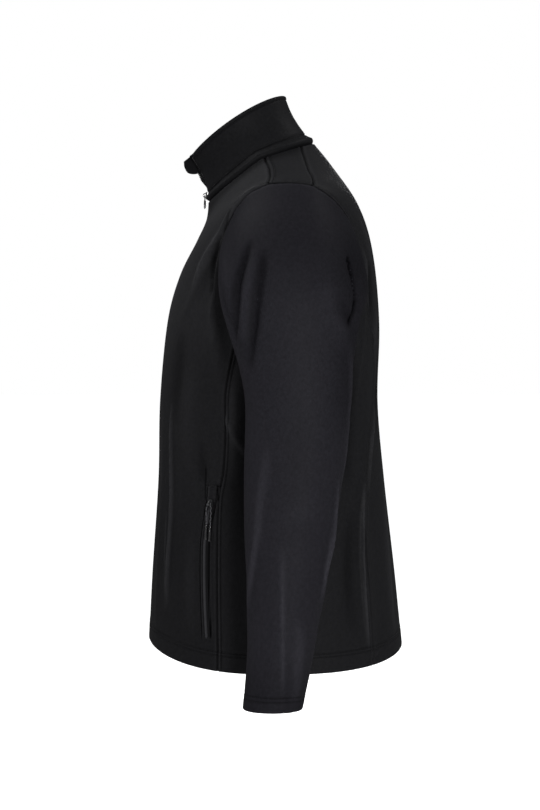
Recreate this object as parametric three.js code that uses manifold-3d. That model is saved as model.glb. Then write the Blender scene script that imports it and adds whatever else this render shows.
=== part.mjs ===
// Softshell jacket in its worn form, in millimetres: +Z up, +X to the wearer's left, front towards -Y.
// The origin is where the wearer's shoulders carry it, in the middle plane below the collar.
import * as THREE from "three";
import { mergeVertices } from "three/addons/utils/BufferGeometryUtils.js";
import Module from "manifold-3d";

const wasm = await Module();
wasm.setup();

const { cos, sin, abs, sign, min, max, floor, asin, acos, atan2, exp, PI } = Math;
const DEGREE = PI / 180;

// Cloth
const CLOTH = 2.0; // wall of the bonded two-layer cloth
const HEM_CLOTH = 3.0; // wall where the hem and the cuffs are turned up
const COLLAR_CLOTH = 2.6;
const HALF_GAP = 0.16; // each piece stands back this far from its seam line
const HEM_TURN = 26; // height of the hem's turn-up
const LONGEST_MITRE = 1.6; // limit on how far a seam's shared inner edge is drawn out

// Body: rings from hem to neck. z is given at the front, side and back, y at the front, side and back,
// half is the half width, square the roundness of the front and back halves, dip how z runs round the ring.
const LEVELS = [
  { zFront: -653, zSide: -668, zBack: -661, yFront: -191, ySide: -14, yBack: 164, half: 190, front: 2.2, back: 2.4, dip: 2.7 },
  { zFront: -560, zSide: -560, zBack: -560, yFront: -186, ySide: -16, yBack: 153.5, half: 188, front: 2.2, back: 2.4, dip: 2 },
  { zFront: -430, zSide: -430, zBack: -430, yFront: -177, ySide: -18, yBack: 138, half: 185, front: 2.2, back: 2.5, dip: 2 },
  { zFront: -320, zSide: -320, zBack: -320, yFront: -174, ySide: -14, yBack: 128, half: 190, front: 2.25, back: 2.7, dip: 2 },
  { zFront: -212, zSide: -215, zBack: -212, yFront: -163, ySide: -4, yBack: 129.5, half: 201, front: 2.3, back: 2.7, dip: 2 },
  { zFront: -150, zSide: -100, zBack: -115, yFront: -146, ySide: 2, yBack: 120, half: 209, front: 2.3, back: 2.5, dip: 2 },
  { zFront: -104, zSide: -32, zBack: -52, yFront: -123, ySide: 4, yBack: 100, half: 214, front: 2.2, back: 2.3, dip: 1.8 },
  { zFront: -72, zSide: -9, zBack: 2, yFront: -109, ySide: -16, yBack: 64.5, half: 150, front: 2.1, back: 2.1, dip: 1.4 },
  { zFront: -46, zSide: 8, zBack: 34, yFront: -106, ySide: -35, yBack: 39, half: 78, front: 2, back: 2, dip: 1 },
];
const HEM = 0;
const NECK = LEVELS.length - 1;

// Seams in the side view. The side panel's two seams run from the hem to the armhole.
const FRONT_SIDE_SEAM = [
  { z: -662, y: -90 },
  { z: -520, y: -91 },
  { z: -440, y: -89 },
  { z: -400, y: -82 },
  { z: -350, y: -79 },
  { z: -300, y: -79 },
  { z: -247, y: -69 },
  { z: -190, y: -56 },
];
const BACK_SIDE_SEAM = [
  { z: -662, y: 116 },
  { z: -586, y: 110 },
  { z: -500, y: 104 },
  { z: -415, y: 108 },
  { z: -354, y: 114 },
  { z: -300, y: 118 },
  { z: -230, y: 116 },
  { z: -150, y: 100 },
];
// Share of the way from hem turn to armhole at which the side seams' rows lie.
const SEAM_ROWS = 12;
// The armhole in the side view, from the front shoulder seam round under the arm and back up.
const ARMHOLE_FRONT = [
  { y: -24, z: -30 },
  { y: -46, z: -41 },
  { y: -60, z: -56 },
  { y: -69, z: -72 },
  { y: -75, z: -93 },
  { y: -78, z: -115 },
  { y: -76, z: -142 },
  { y: -69, z: -168 },
  { y: -56, z: -190 },
];
const ARMHOLE_UNDER = [
  { y: -56, z: -190 },
  { y: -38, z: -205 },
  { y: -10, z: -214 },
  { y: 18, z: -216 },
  { y: 48, z: -209 },
  { y: 74, z: -196 },
  { y: 92, z: -176 },
  { y: 100, z: -150 },
];
const ARMHOLE_BACK = [
  { y: 100, z: -150 },
  { y: 99, z: -132 },
  { y: 93, z: -108 },
  { y: 85, z: -84 },
  { y: 72, z: -63 },
  { y: 54, z: -45 },
  { y: 34, z: -32 },
];
const ARMHOLE_TOP = [
  { y: 34, z: -32 },
  { y: 16, z: -29 },
  { y: -4, z: -28.5 },
  { y: -24, z: -30 },
];
const ARMHOLE_MIDDLE = { y: 11, z: -122 };
// Segments along the neck seam's front, shoulder and back arcs, and along a shoulder seam.
const NECK_FRONT = 7;
const NECK_SHOULDER = 3;
const NECK_BACK = 6;
const SHOULDER_ROWS = 7;
const TOP_HOLD = 4; // how fast the neck and shoulder line's shape fades down a panel's rows
const NECK_FRONT_SEAM_Y = -28;
const NECK_BACK_SEAM_Y = 21.5;

// Folds of the body: soft ridges, or troughs where height is below 0, given by the angle round the body
// from the middle of the front, the half width and the height, in degrees and millimetres.
const BODY_FOLDS = [
  {
    name: "front pocket bag edge",
    rows: [
      { z: -648, angle: 24, width: 7, height: 0 },
      { z: -600, angle: 23, width: 8, height: 1.6 },
      { z: -430, angle: 22, width: 9, height: 2.2 },
      { z: -300, angle: 21, width: 10, height: 0 },
    ],
  },
  {
    name: "before the arm",
    rows: [
      { z: -300, angle: 56, width: 12, height: 0 },
      { z: -217, angle: 57, width: 12, height: 4 },
      { z: -140, angle: 58, width: 11, height: 6 },
      { z: -93, angle: 61, width: 10, height: 5 },
      { z: -60, angle: 66, width: 9, height: 0 },
    ],
  },
  {
    name: "behind the fold before the arm",
    rows: [
      { z: -300, angle: 64, width: 11, height: 0 },
      { z: -217, angle: 65, width: 11, height: -4 },
      { z: -140, angle: 66, width: 10, height: -4 },
      { z: -100, angle: 68, width: 8, height: 0 },
    ],
  },
  {
    name: "across the chest",
    rows: [
      { z: -215, angle: 34, width: 12, height: 0 },
      { z: -175, angle: 42, width: 12, height: 3 },
      { z: -135, angle: 50, width: 11, height: 3.4 },
      { z: -100, angle: 57, width: 9, height: 0 },
    ],
  },
  {
    name: "back side flare",
    rows: [
      { z: -655, angle: 134, width: 14, height: 3 },
      { z: -560, angle: 134, width: 13, height: 5 },
      { z: -480, angle: 136, width: 11, height: 3.5 },
      { z: -400, angle: 140, width: 9, height: 2 },
      { z: -320, angle: 146, width: 9, height: 0 },
    ],
  },
  {
    name: "behind the arm",
    rows: [
      { z: -330, angle: 128, width: 11, height: 0 },
      { z: -260, angle: 132, width: 11, height: 4 },
      { z: -190, angle: 136, width: 10, height: 4 },
      { z: -120, angle: 140, width: 9, height: 0 },
    ],
  },
];
const BODY_RADIUS = 175; // turns a fold's angle into a distance

// Sleeve: rings from the upper arm to the cuff. tilt is how much higher the outer side lies.
const SLEEVE_RINGS = [
  { z: -222, tilt: 34, xMid: 262, half: 53, yFront: -71, yBack: 88, square: 2.0 },
  { z: -265, tilt: 22, xMid: 265, half: 54, yFront: -58.5, yBack: 82, square: 2.05 },
  { z: -310, tilt: 12, xMid: 269, half: 55, yFront: -52, yBack: 78, square: 2.1 },
  { z: -390, tilt: 4, xMid: 277, half: 55, yFront: -53.5, yBack: 70.5, square: 2.15 },
  { z: -470, tilt: 0, xMid: 283, half: 53, yFront: -53, yBack: 58.5, square: 2.1 },
  { z: -550, tilt: 0, xMid: 289, half: 49, yFront: -49, yBack: 44.5, square: 2.1 },
  { z: -620, tilt: 2, xMid: 294, half: 44, yFront: -50, yBack: 33, square: 2.1 },
  { z: -684.5, tilt: 6, xMid: 298, half: 40, yFront: -55, yBack: 19.5, square: 2.1 },
];
const CAP_ROWS = 5; // rows between the armhole and the first ring
const ARM_STOPS = [0.5, 1, 1.6, 2.2, 2.8, 3.4, 4, 4.6, 5.2, 5.8, 6.3, 6.72, 7];
const CAP_OUT = new THREE.Vector3(0.86, 0, -0.5); // how the sleeve leaves the armhole's top
const CAP_DOWN = new THREE.Vector3(0.34, 0, -0.94); // and its underside
const CAP_SWELL = 0.34; // how far the cap swells to the front and back
const CAP_START = 0.34;
const CAP_END = 0.36;
const SLEEVE_FOLDS = [
  {
    name: "outer front",
    rows: [
      { z: -60, angle: 62, width: 8, height: 0 },
      { z: -110, angle: 64, width: 9, height: 3 },
      { z: -180, angle: 60, width: 9, height: 4 },
      { z: -260, angle: 52, width: 9, height: 0 },
    ],
  },
  {
    name: "inner front",
    rows: [
      { z: -80, angle: 78, width: 7, height: 0 },
      { z: -120, angle: 80, width: 8, height: -3.5 },
      { z: -190, angle: 76, width: 8, height: -4.5 },
      { z: -270, angle: 70, width: 8, height: 0 },
    ],
  },
  {
    name: "back crease",
    rows: [
      { z: -90, angle: 306, width: 9, height: 0 },
      { z: -140, angle: 296, width: 9, height: -4 },
      { z: -190, angle: 290, width: 9, height: -6 },
      { z: -225, angle: 292, width: 9, height: 0 },
    ],
  },
  {
    name: "lower front",
    rows: [
      { z: -420, angle: 50, width: 8, height: 0 },
      { z: -480, angle: 62, width: 8, height: 2.5 },
      { z: -560, angle: 74, width: 8, height: 2.5 },
      { z: -610, angle: 80, width: 8, height: 0 },
    ],
  },
  {
    name: "lower back",
    rows: [
      { z: -430, angle: 296, width: 8, height: 0 },
      { z: -490, angle: 290, width: 8, height: 2.5 },
      { z: -540, angle: 284, width: 8, height: 2.5 },
      { z: -580, angle: 280, width: 8, height: 0 },
    ],
  },
];
const SLEEVE_RADIUS = 58;

// Collar: its top edge is an ellipse that leans forward and swells upwards at the sides.
const COLLAR_TOP = { yFront: -131, yBack: 0, zFront: 14, zBack: 97.5, half: 64, swell: 11.5 };
const COLLAR_HOLLOW = 6; // how far its middle draws in towards the wearer's neck
const COLLAR_OPEN = 17 * DEGREE; // where the open front edges end, round the top edge
const COLLAR_JOINED = 0.12; // share of the height over which the zip is still closed
const COLLAR_STOPS = [0, 0.05, 0.1, 0.16, 0.3, 0.48, 0.66, 0.84, 0.93, 1];
const COLLAR_ROLL = { height: 3.2, middle: 0.07, width: 0.055 }; // padded seam at its foot
const COLLAR_BAND = { start: 0.88, height: 0.9 }; // bound top edge
const FAR_FLARE = { forward: 5, start: 0.27, end: 0.5, reach: 34 * DEGREE }; // the right front edge stands further forward

// Chin guard: a stiff flap behind the zip's right edge at the collar's top, turned forward past the chain.
// Its section is given across the zip from the cloth's edge and out from the cloth's face.
const GUARD_SECTION = [
  { across: -9, out: -5.1 },
  { across: -3, out: -5.1 },
  { across: 3, out: -5.1 },
  { across: 6.8, out: -4.9 },
  { across: 9.2, out: -3 },
  { across: 9.8, out: 0 },
  { across: 10, out: 3.5 },
  { across: 10.2, out: 7 },
  { across: 10.4, out: 10.5 },
];
const GUARD_ROWS = [
  { v: 0.63, reach: 4.1 },
  { v: 0.65, reach: 5.4 },
  { v: 0.68, reach: 6.5 },
  { v: 0.72, reach: 7.4 },
  { v: 0.78, reach: 8 },
  { v: 0.84, reach: 8 },
  { v: 0.91, reach: 7.6 },
  { v: 0.98, reach: 6.8 },
];
const GUARD_COLUMNS = 10;
const GUARD_WALL = 1.2;

// Front zip
const ZIP_EDGE = 6.5; // from the middle to the cloth's edge
const TAPE_UNDER = 4.5; // tape under the cloth
const TAPE_WALL = 0.8;
const CHAIN_WIDTH = 2.8;
const CHAIN_FRONT = -0.5; // chain's front face, from the cloth's outer face
const TAPE_FRONT = -HEM_CLOTH - 0.6;
const CENTRE_GAP = 0.25;

// Slider and pull tab of the front zip
const SLIDER_Z = -38;
const SLIDER = { width: 9, height: 10, wall: 2 };
const SLIDER_TOP_SHARE = 0.27; // share of the collar's height at which its upper end lies
const SLIDER_LIFT = 0.35; // from the chain's front face to the slider
const BRIDGE = { width: 2.4, top: 4, bottom: -2.9, reach: 4.1, wall: 1.2 };
const TAB = { bar: 0.6, barY: 1.35, barZ: -0.4, armIn: 1.6, armOut: 2.9, neck: 5.4, length: 17, width: 7, wall: 2 };

// Hand pockets
const POCKET = { top: -422, bottom: -624, width: 9, lift: 0.3, wall: 1.1, rows: 12 };
// The pocket zip's middle line in the side view
const POCKET_LINE = [
  { z: -624, y: -104.2 },
  { z: -585, y: -105.8 },
  { z: -540, y: -106.8 },
  { z: -500, y: -106.2 },
  { z: -470, y: -102.6 },
  { z: -444, y: -97.6 },
  { z: -422, y: -95.5 },
];
const POCKET_SLIDER = { z: -444, width: 6.4, height: 9, wall: 2.2 };
const CORD = { diameter: 1.9, sides: 8, steps: 14 };
const TIP = { diameter: 3.8, length: 21 };

const COLOURS = {
  cloth: { color: 0x1f1f21, roughness: 0.85, metalness: 0 },
  sleeve: { color: 0x242328, roughness: 0.85, metalness: 0 },
  zip: { color: 0x151516, roughness: 0.5, metalness: 0.1 },
  cord: { color: 0x2a2a2c, roughness: 0.6, metalness: 0 },
};

// General helpers

const clamp = (value, low, high) => min(max(value, low), high);
const mix = (a, b, t) => a + (b - a) * t;

function smoothstep(low, high, value) {
  const t = clamp((value - low) / (high - low), 0, 1);
  return t * t * (3 - 2 * t);
}

// A column of a table at a fractional row, on a smooth curve through the rows.
function column(rows, key, at) {
  const i = clamp(floor(at), 0, rows.length - 2);
  const t = at - i;
  const value = (k) => rows[clamp(k, 0, rows.length - 1)][key];
  const rise0 = (value(i + 1) - value(i - 1)) / 2;
  const rise1 = (value(i + 2) - value(i)) / 2;
  const t2 = t * t;
  const t3 = t2 * t;
  return (
    value(i) * (2 * t3 - 3 * t2 + 1) +
    rise0 * (t3 - 2 * t2 + t) +
    value(i + 1) * (3 * t2 - 2 * t3) +
    rise1 * (t3 - t2)
  );
}

// The fractional row of a table, in order of z either way, at which z lies.
function rowOf(rows, z) {
  const up = rows[rows.length - 1].z > rows[0].z ? 1 : -1;
  let i = 0;
  while (i < rows.length - 2 && (z - rows[i + 1].z) * up > 0) i += 1;
  return clamp(i + (z - rows[i].z) / (rows[i + 1].z - rows[i].z), 0, rows.length - 1);
}

// Sum of the folds at a height z and an angle in degrees.
function foldsAt(folds, radius, angle, z) {
  let sum = 0;
  for (const { rows } of folds) {
    const low = min(rows[0].z, rows[rows.length - 1].z);
    const high = max(rows[0].z, rows[rows.length - 1].z);
    if (z <= low || z >= high) continue;
    const at = rowOf(rows, z);
    let away = angle - column(rows, "angle", at);
    away -= 360 * Math.round(away / 360);
    const distance = away * DEGREE * radius;
    sum += column(rows, "height", at) * exp(-((distance / column(rows, "width", at)) ** 2));
  }
  return sum;
}

// The body's surface

function smoothBody(angle, level) {
  const at = (key) => column(LEVELS, key, level);
  const c = cos(angle);
  const s = sin(angle);
  const front = c > 0;
  const power = 2 / at(front ? "front" : "back");
  const reach = abs(c) ** power;
  const ySide = at("ySide");
  const zSide = at("zSide");
  return new THREE.Vector3(
    sign(s) * at("half") * abs(s) ** power,
    ySide + (at(front ? "yFront" : "yBack") - ySide) * reach,
    zSide + (at(front ? "zFront" : "zBack") - zSide) * abs(c) ** at("dip"),
  );
}

function normalOf(surface, u, v, du, dv) {
  const along = surface(u + du, v).sub(surface(u - du, v));
  const up = surface(u, min(v + dv, NECK)).sub(surface(u, max(v - dv, HEM)));
  return along.cross(up).normalize();
}

function bodyPoint(angle, level) {
  const p = smoothBody(angle, level);
  const turned = angle > PI ? 2 * PI - angle : angle;
  const height = foldsAt(BODY_FOLDS, BODY_RADIUS, turned / DEGREE, p.z);
  return p.addScaledVector(normalOf(smoothBody, angle, level, 0.02, 0.02), height);
}

const bodyNormal = (angle, level) => normalOf(bodyPoint, angle, level, 0.03, 0.04);

// The angle and level of the body's left side at a place in the side view.
function locate({ y, z }) {
  let angle = PI / 2 + asin(clamp(y / 150, -0.9, 0.9));
  let level = z > -30 ? 6.5 : rowOf(LEVELS.slice(0, 7).map((row) => ({ z: row.zSide })), z);
  const step = 1e-4;
  for (let turn = 0; turn < 60; turn += 1) {
    const p = smoothBody(angle, level);
    const pa = smoothBody(angle + step, level);
    const pl = smoothBody(angle, level + step);
    const a = (pa.y - p.y) / step;
    const b = (pl.y - p.y) / step;
    const c = (pa.z - p.z) / step;
    const d = (pl.z - p.z) / step;
    const det = a * d - b * c;
    const ey = y - p.y;
    const ez = z - p.z;
    angle = clamp(angle + clamp((d * ey - b * ez) / det, -0.2, 0.2), 0.05, PI - 0.05);
    level = clamp(level + clamp((a * ez - c * ey) / det, -0.4, 0.4), HEM, NECK);
  }
  return [angle, level];
}

// Boundary lines in angle and level

function seamLine(table) {
  const top = table[table.length - 1].z;
  const hemTurn = LEVELS[HEM].zSide + HEM_TURN;
  const line = [];
  for (let i = 0; i <= SEAM_ROWS; i += 1) {
    const z = mix(hemTurn, top, i / SEAM_ROWS);
    line.push(locate({ y: column(table, "y", rowOf(table, z)), z }));
  }
  return [[line[0][0], HEM], ...line];
}

function lerpLine(from, to, steps) {
  return Array.from({ length: steps + 1 }, (_, i) => [
    mix(from[0], to[0], i / steps),
    mix(from[1], to[1], i / steps),
  ]);
}

const middleAngle = (level) => {
  const power = column(LEVELS, "front", level) / 2;
  return asin((ZIP_EDGE / column(LEVELS, "half", level)) ** power);
};
const neckAngle = (y) => {
  const { ySide, yBack } = LEVELS[NECK];
  return acos(-(y - ySide) / (yBack - ySide));
};

const frontSeam = seamLine(FRONT_SIDE_SEAM);
const backSeam = seamLine(BACK_SIDE_SEAM);
const armholeFront = ARMHOLE_FRONT.map(locate);
const armholeUnder = ARMHOLE_UNDER.map(locate);
const armholeBack = ARMHOLE_BACK.map(locate);
const armholeTop = ARMHOLE_TOP.map(locate);
const neckFrontSeam = [neckAngle(NECK_FRONT_SEAM_Y), NECK];
const neckBackSeam = [neckAngle(NECK_BACK_SEAM_Y), NECK];
const neckMiddle = [middleAngle(NECK), NECK];
const neckFront = lerpLine(neckMiddle, neckFrontSeam, NECK_FRONT);
const neckShoulder = lerpLine(neckFrontSeam, neckBackSeam, NECK_SHOULDER);
const shoulderFront = lerpLine(neckFrontSeam, armholeFront[0], SHOULDER_ROWS);
const shoulderBack = lerpLine(neckBackSeam, armholeTop[0], SHOULDER_ROWS);
const mirrorLine = (line) => line.map(([angle, level]) => [2 * PI - angle, level]);
const reversed = (line) => [...line].reverse();
const joinLines = (...lines) => lines.flatMap((line, i) => (i ? line.slice(1) : line));

// A grid of angle and level filled in between its four boundary lines. The top line's own shape fades
// downwards, the faster the larger hold is.
function fillPatch(bottom, top, left, right, hold) {
  const nu = bottom.length - 1;
  const nv = left.length - 1;
  const grid = [];
  for (let j = 0; j <= nv; j += 1) {
    const rise = (j / nv) ** hold;
    const row = [];
    for (let i = 0; i <= nu; i += 1) {
      const u = i / nu;
      row.push(
        [0, 1].map((k) => {
          const across = mix(left[j][k], right[j][k], u);
          const upward = mix(bottom[i][k], top[i][k], rise);
          const corners = mix(
            mix(bottom[0][k], bottom[nu][k], u),
            mix(top[0][k], top[nu][k], u),
            rise,
          );
          return across + upward - corners;
        }),
      );
    }
    grid.push(row);
  }
  return grid;
}

// Seams shared by two surfaces: the wall's inner edge is mitred between both normals.
function mitre(own, other) {
  const normal = own.clone().add(other).normalize();
  return { normal, stretch: min(1 / max(normal.dot(own), 0.05), LONGEST_MITRE) };
}

// The collar's surface: u runs round it from the left front edge, v up it

function collarPoint(u, v) {
  const { yFront, yBack, zFront, zBack, half, swell } = COLLAR_TOP;
  const start = mix(asin(ZIP_EDGE / half), COLLAR_OPEN, smoothstep(COLLAR_JOINED, 1.1, v));
  const topAngle = mix(start, 2 * PI - start, u);
  const baseAngle = mix(neckMiddle[0], 2 * PI - neckMiddle[0], u);
  const foot = bodyPoint(baseAngle, NECK);
  const yMid = (yFront + yBack) / 2;
  const y = yMid - (cos(topAngle) * (yBack - yFront)) / 2;
  const share = (y - yFront) / (yBack - yFront);
  const top = new THREE.Vector3(
    half * sin(topAngle),
    y,
    mix(zFront, zBack, share) + swell * abs(sin(topAngle)) ** 1.5,
  );
  const p = foot.lerp(top, v);
  const inward = new THREE.Vector3(-(sin(topAngle) ** 3), cos(topAngle), 0);
  p.addScaledVector(inward, COLLAR_HOLLOW * sin(PI * v));
  const flare = FAR_FLARE.forward * smoothstep(FAR_FLARE.start, FAR_FLARE.end, v);
  const nearEdge = exp(-((((1 - u) * 2 * PI) / FAR_FLARE.reach) ** 2));
  p.y -= flare * nearEdge;
  return p;
}

function collarNormal(u, v) {
  const du = 0.004;
  const dv = 0.02;
  const along = collarPoint(min(u + du, 1), v).sub(collarPoint(max(u - du, 0), v));
  const up = collarPoint(u, min(v + dv, 1)).sub(collarPoint(u, max(v - dv, 0)));
  return along.cross(up).normalize();
}

function collarSwell(v) {
  const roll = COLLAR_ROLL.height * exp(-(((v - COLLAR_ROLL.middle) / COLLAR_ROLL.width) ** 2));
  const band = COLLAR_BAND.height * smoothstep(COLLAR_BAND.start, COLLAR_BAND.start + 0.03, v);
  return (v > 0 ? roll : 0) + band;
}

// The sleeve's surface, for the left arm

function ringPoint(turn, at) {
  const value = (key) => column(SLEEVE_RINGS, key, at);
  const power = 2 / value("square");
  const c = cos(turn);
  const s = sin(turn);
  const yMid = (value("yFront") + value("yBack")) / 2;
  const depth = (value("yBack") - value("yFront")) / 2;
  return new THREE.Vector3(
    value("xMid") + value("half") * sign(c) * abs(c) ** power,
    yMid - depth * sign(s) * abs(s) ** power,
    value("z") + (value("tilt") / 2) * c,
  );
}

const armholeRing = joinLines(armholeFront, armholeUnder, armholeBack, armholeTop);
const ringFeet = armholeRing.map(([angle, level]) => bodyPoint(angle, level));
const ringTurns = ringFeet.map((p) => {
  const turn = atan2(ARMHOLE_MIDDLE.y - p.y, p.z - ARMHOLE_MIDDLE.z);
  return turn < 0 ? turn + 2 * PI : turn;
});

// Smooth point of the cap between the armhole, at 0, and the first ring, at 1.
function capPoint(foot, turn, t) {
  const end = ringPoint(turn, 0);
  const length = foot.distanceTo(end);
  const upper = (1 + cos(turn)) / 2;
  const leave = CAP_DOWN.clone().lerp(CAP_OUT, upper);
  leave.y -= CAP_SWELL * sin(turn);
  leave.normalize();
  const arrive = ringPoint(turn, 0.2).sub(end).normalize();
  const a = foot.clone().addScaledVector(leave, CAP_START * length);
  const b = end.clone().addScaledVector(arrive, -CAP_END * length);
  const s = 1 - t;
  return new THREE.Vector3()
    .addScaledVector(foot, s * s * s)
    .addScaledVector(a, 3 * s * s * t)
    .addScaledVector(b, 3 * s * t * t)
    .addScaledVector(end, t * t * t);
}

function smoothSleeve(index, at) {
  const turn = ringTurns[index];
  return at < 1 ? capPoint(ringFeet[index], turn, at) : ringPoint(turn, at - 1);
}

function sleeveGrid() {
  const stops = [];
  for (let i = 0; i <= CAP_ROWS; i += 1) stops.push(i / CAP_ROWS);
  for (const stop of ARM_STOPS) stops.push(1 + stop);
  const count = ringFeet.length - 1;
  const smooth = stops.map((at) => ringFeet.slice(0, count).map((_, i) => smoothSleeve(i, at)));
  const normalAt = (grid, j, i) => {
    const row = grid[j];
    const along = row[(i + 1) % count].clone().sub(row[(i + count - 1) % count]);
    const down = grid[min(j + 1, grid.length - 1)][i].clone().sub(grid[max(j - 1, 0)][i]);
    return along.cross(down).normalize();
  };
  const folded = smooth.map((row, j) =>
    row.map((p, i) => {
      const height = foldsAt(SLEEVE_FOLDS, SLEEVE_RADIUS, ringTurns[i] / DEGREE, p.z) * smoothstep(0, 0.5, stops[j]);
      return p.clone().addScaledVector(normalAt(smooth, j, i), height);
    }),
  );
  const normals = folded.map((row, j) => row.map((_, i) => normalAt(folded, j, i)));
  return { points: folded, normals, stops };
}

// Walls: a grid of outer points with a wall behind it, closed round its edges

function geometryOf(positions, faces) {
  const geometry = new THREE.BufferGeometry();
  geometry.setAttribute("position", new THREE.Float32BufferAttribute(positions.flatMap((p) => [p.x, p.y, p.z]), 3));
  geometry.setIndex(faces.flat());
  return geometry;
}

// Each cell has x, y, z of its outer point, the wall's direction and its depth. Rows run up, columns to the
// wearer's left seen from outside. A ring closes on itself.
function wallGeometry(cells, closed) {
  const rows = cells.length;
  const columns = cells[0].length;
  const outer = cells.flatMap((row) => row.map((cell) => cell.point));
  const inner = cells.flatMap((row) =>
    row.map((cell) => cell.point.clone().addScaledVector(cell.normal, -cell.depth)),
  );
  const offset = outer.length;
  const id = (j, i) => j * columns + (i % columns);
  const faces = [];
  const quad = (a, b, c, d) => faces.push([a, b, c], [a, c, d]);
  const last = closed ? columns : columns - 1;
  for (let j = 0; j < rows - 1; j += 1)
    for (let i = 0; i < last; i += 1) {
      quad(id(j, i), id(j, i + 1), id(j + 1, i + 1), id(j + 1, i));
      quad(offset + id(j, i), offset + id(j + 1, i), offset + id(j + 1, i + 1), offset + id(j, i + 1));
    }
  for (let i = 0; i < last; i += 1) {
    quad(id(0, i), offset + id(0, i), offset + id(0, i + 1), id(0, i + 1));
    quad(id(rows - 1, i), id(rows - 1, i + 1), offset + id(rows - 1, i + 1), offset + id(rows - 1, i));
  }
  if (!closed)
    for (let j = 0; j < rows - 1; j += 1) {
      quad(id(j, 0), id(j + 1, 0), offset + id(j + 1, 0), offset + id(j, 0));
      const e = columns - 1;
      quad(id(j, e), offset + id(j, e), offset + id(j + 1, e), id(j + 1, e));
    }
  return geometryOf([...outer, ...inner], faces);
}

// Stands a piece's boundary back from its seam lines, along the surface and square to each line.
function standBack(cells, closed) {
  const rows = cells.length;
  const columns = cells[0].length;
  const moves = [];
  const push = (j, i, along, inside) => {
    const cell = cells[j][i];
    const away = along.clone().cross(cell.normal).normalize();
    if (away.dot(inside) < 0) away.negate();
    moves.push([cell, away]);
  };
  const wrap = (i) => (closed ? (i + columns) % columns : clamp(i, 0, columns - 1));
  for (const j of [0, rows - 1])
    for (let i = 0; i < columns; i += 1) {
      const along = cells[j][wrap(i + 1)].point.clone().sub(cells[j][wrap(i - 1)].point);
      push(j, i, along, cells[j ? j - 1 : 1][i].point.clone().sub(cells[j][i].point));
    }
  if (!closed)
    for (const i of [0, columns - 1])
      for (let j = 0; j < rows; j += 1) {
        const along = cells[min(j + 1, rows - 1)][i].point.clone().sub(cells[max(j - 1, 0)][i].point);
        push(j, i, along, cells[j][i ? i - 1 : 1].point.clone().sub(cells[j][i].point));
      }
  for (const [cell, away] of moves) cell.point.addScaledVector(away, HALF_GAP);
}

const mirrored = (geometry) => {
  const copy = geometry.clone();
  copy.scale(-1, 1, 1);
  const count = copy.getAttribute("position").count;
  const index = copy.getIndex() ? [...copy.getIndex().array] : Array.from({ length: count }, (_, i) => i);
  for (let i = 0; i < index.length; i += 3) [index[i + 1], index[i + 2]] = [index[i + 2], index[i + 1]];
  copy.setIndex(index);
  return copy;
};

// Body panels

const sleeve = sleeveGrid();
const keyOf = ([angle, level]) => `${angle.toFixed(6)},${level.toFixed(6)}`;
const seamPartners = new Map();
armholeRing.forEach((place, i) => {
  const partner = sleeve.normals[0][i % sleeve.normals[0].length];
  seamPartners.set(keyOf(place), partner);
  const far = partner.clone();
  far.x *= -1;
  seamPartners.set(keyOf([2 * PI - place[0], place[1]]), far);
});
const neckRing = joinLines(
  neckFront,
  neckShoulder,
  lerpLine(neckBackSeam, [2 * PI - neckBackSeam[0], NECK], NECK_BACK),
  reversed(mirrorLine(neckShoulder)),
  reversed(mirrorLine(neckFront)),
);
const neckShare = (angle) => (angle - neckMiddle[0]) / (2 * PI - 2 * neckMiddle[0]);
for (const place of neckRing) seamPartners.set(keyOf(place), collarNormal(neckShare(place[0]), 0));

function panelGeometry(bottom, top, left, right) {
  const cells = fillPatch(bottom, top, left, right, TOP_HOLD).map((row, j) =>
    row.map((place) => {
      const point = bodyPoint(place[0], place[1]);
      const own = bodyNormal(place[0], place[1]);
      const partner = seamPartners.get(keyOf(place));
      const wall = j < 2 ? HEM_CLOTH : CLOTH;
      if (!partner) return { point, normal: own, depth: wall };
      const { normal, stretch } = mitre(own, partner);
      return { point, normal, depth: wall * stretch };
    }),
  );
  standBack(cells, false);
  return wallGeometry(cells, false);
}

const hemLine = (from, to, steps) => lerpLine([from, HEM], [to, HEM], steps);
const frontOuter = joinLines(frontSeam, reversed(armholeFront));
const frontRows = frontOuter.length - 1;
const frontLevels = frontOuter.map(([, level], j) => {
  const share = j / frontRows;
  return mix(level, HEM + (NECK - HEM) * share, smoothstep(0.5, 1, share));
});
const frontMiddle = frontLevels.map((level) => [middleAngle(level), level]);
const frontGeometry = panelGeometry(
  hemLine(frontMiddle[0][0], frontSeam[0][0], NECK_FRONT + SHOULDER_ROWS),
  joinLines(neckFront, shoulderFront),
  frontMiddle,
  frontOuter,
);
const sideGeometry = panelGeometry(
  hemLine(frontSeam[0][0], backSeam[0][0], ARMHOLE_UNDER.length - 1),
  armholeUnder,
  frontSeam,
  backSeam,
);
const backOuter = joinLines(backSeam, armholeBack);
const backGeometry = panelGeometry(
  hemLine(backSeam[0][0], 2 * PI - backSeam[0][0], 2 * SHOULDER_ROWS + NECK_BACK),
  joinLines(
    reversed(shoulderBack),
    lerpLine(neckBackSeam, [2 * PI - neckBackSeam[0], NECK], NECK_BACK),
    mirrorLine(shoulderBack),
  ),
  backOuter,
  mirrorLine(backOuter),
);
// The shoulder piece's rows run from the armhole up to the neck.
const shoulderPatch = fillPatch(
  reversed(armholeTop),
  neckShoulder,
  reversed(shoulderFront),
  reversed(shoulderBack),
  1,
);
const shoulderCells = shoulderPatch.map((row) =>
  row.map((place) => {
    const own = bodyNormal(place[0], place[1]);
    const partner = seamPartners.get(keyOf(place));
    const { normal, stretch } = partner ? mitre(own, partner) : { normal: own, stretch: 1 };
    return { point: bodyPoint(place[0], place[1]), normal, depth: CLOTH * stretch };
  }),
);
standBack(shoulderCells, false);
const shoulderGeometry = wallGeometry(shoulderCells, false);

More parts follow.
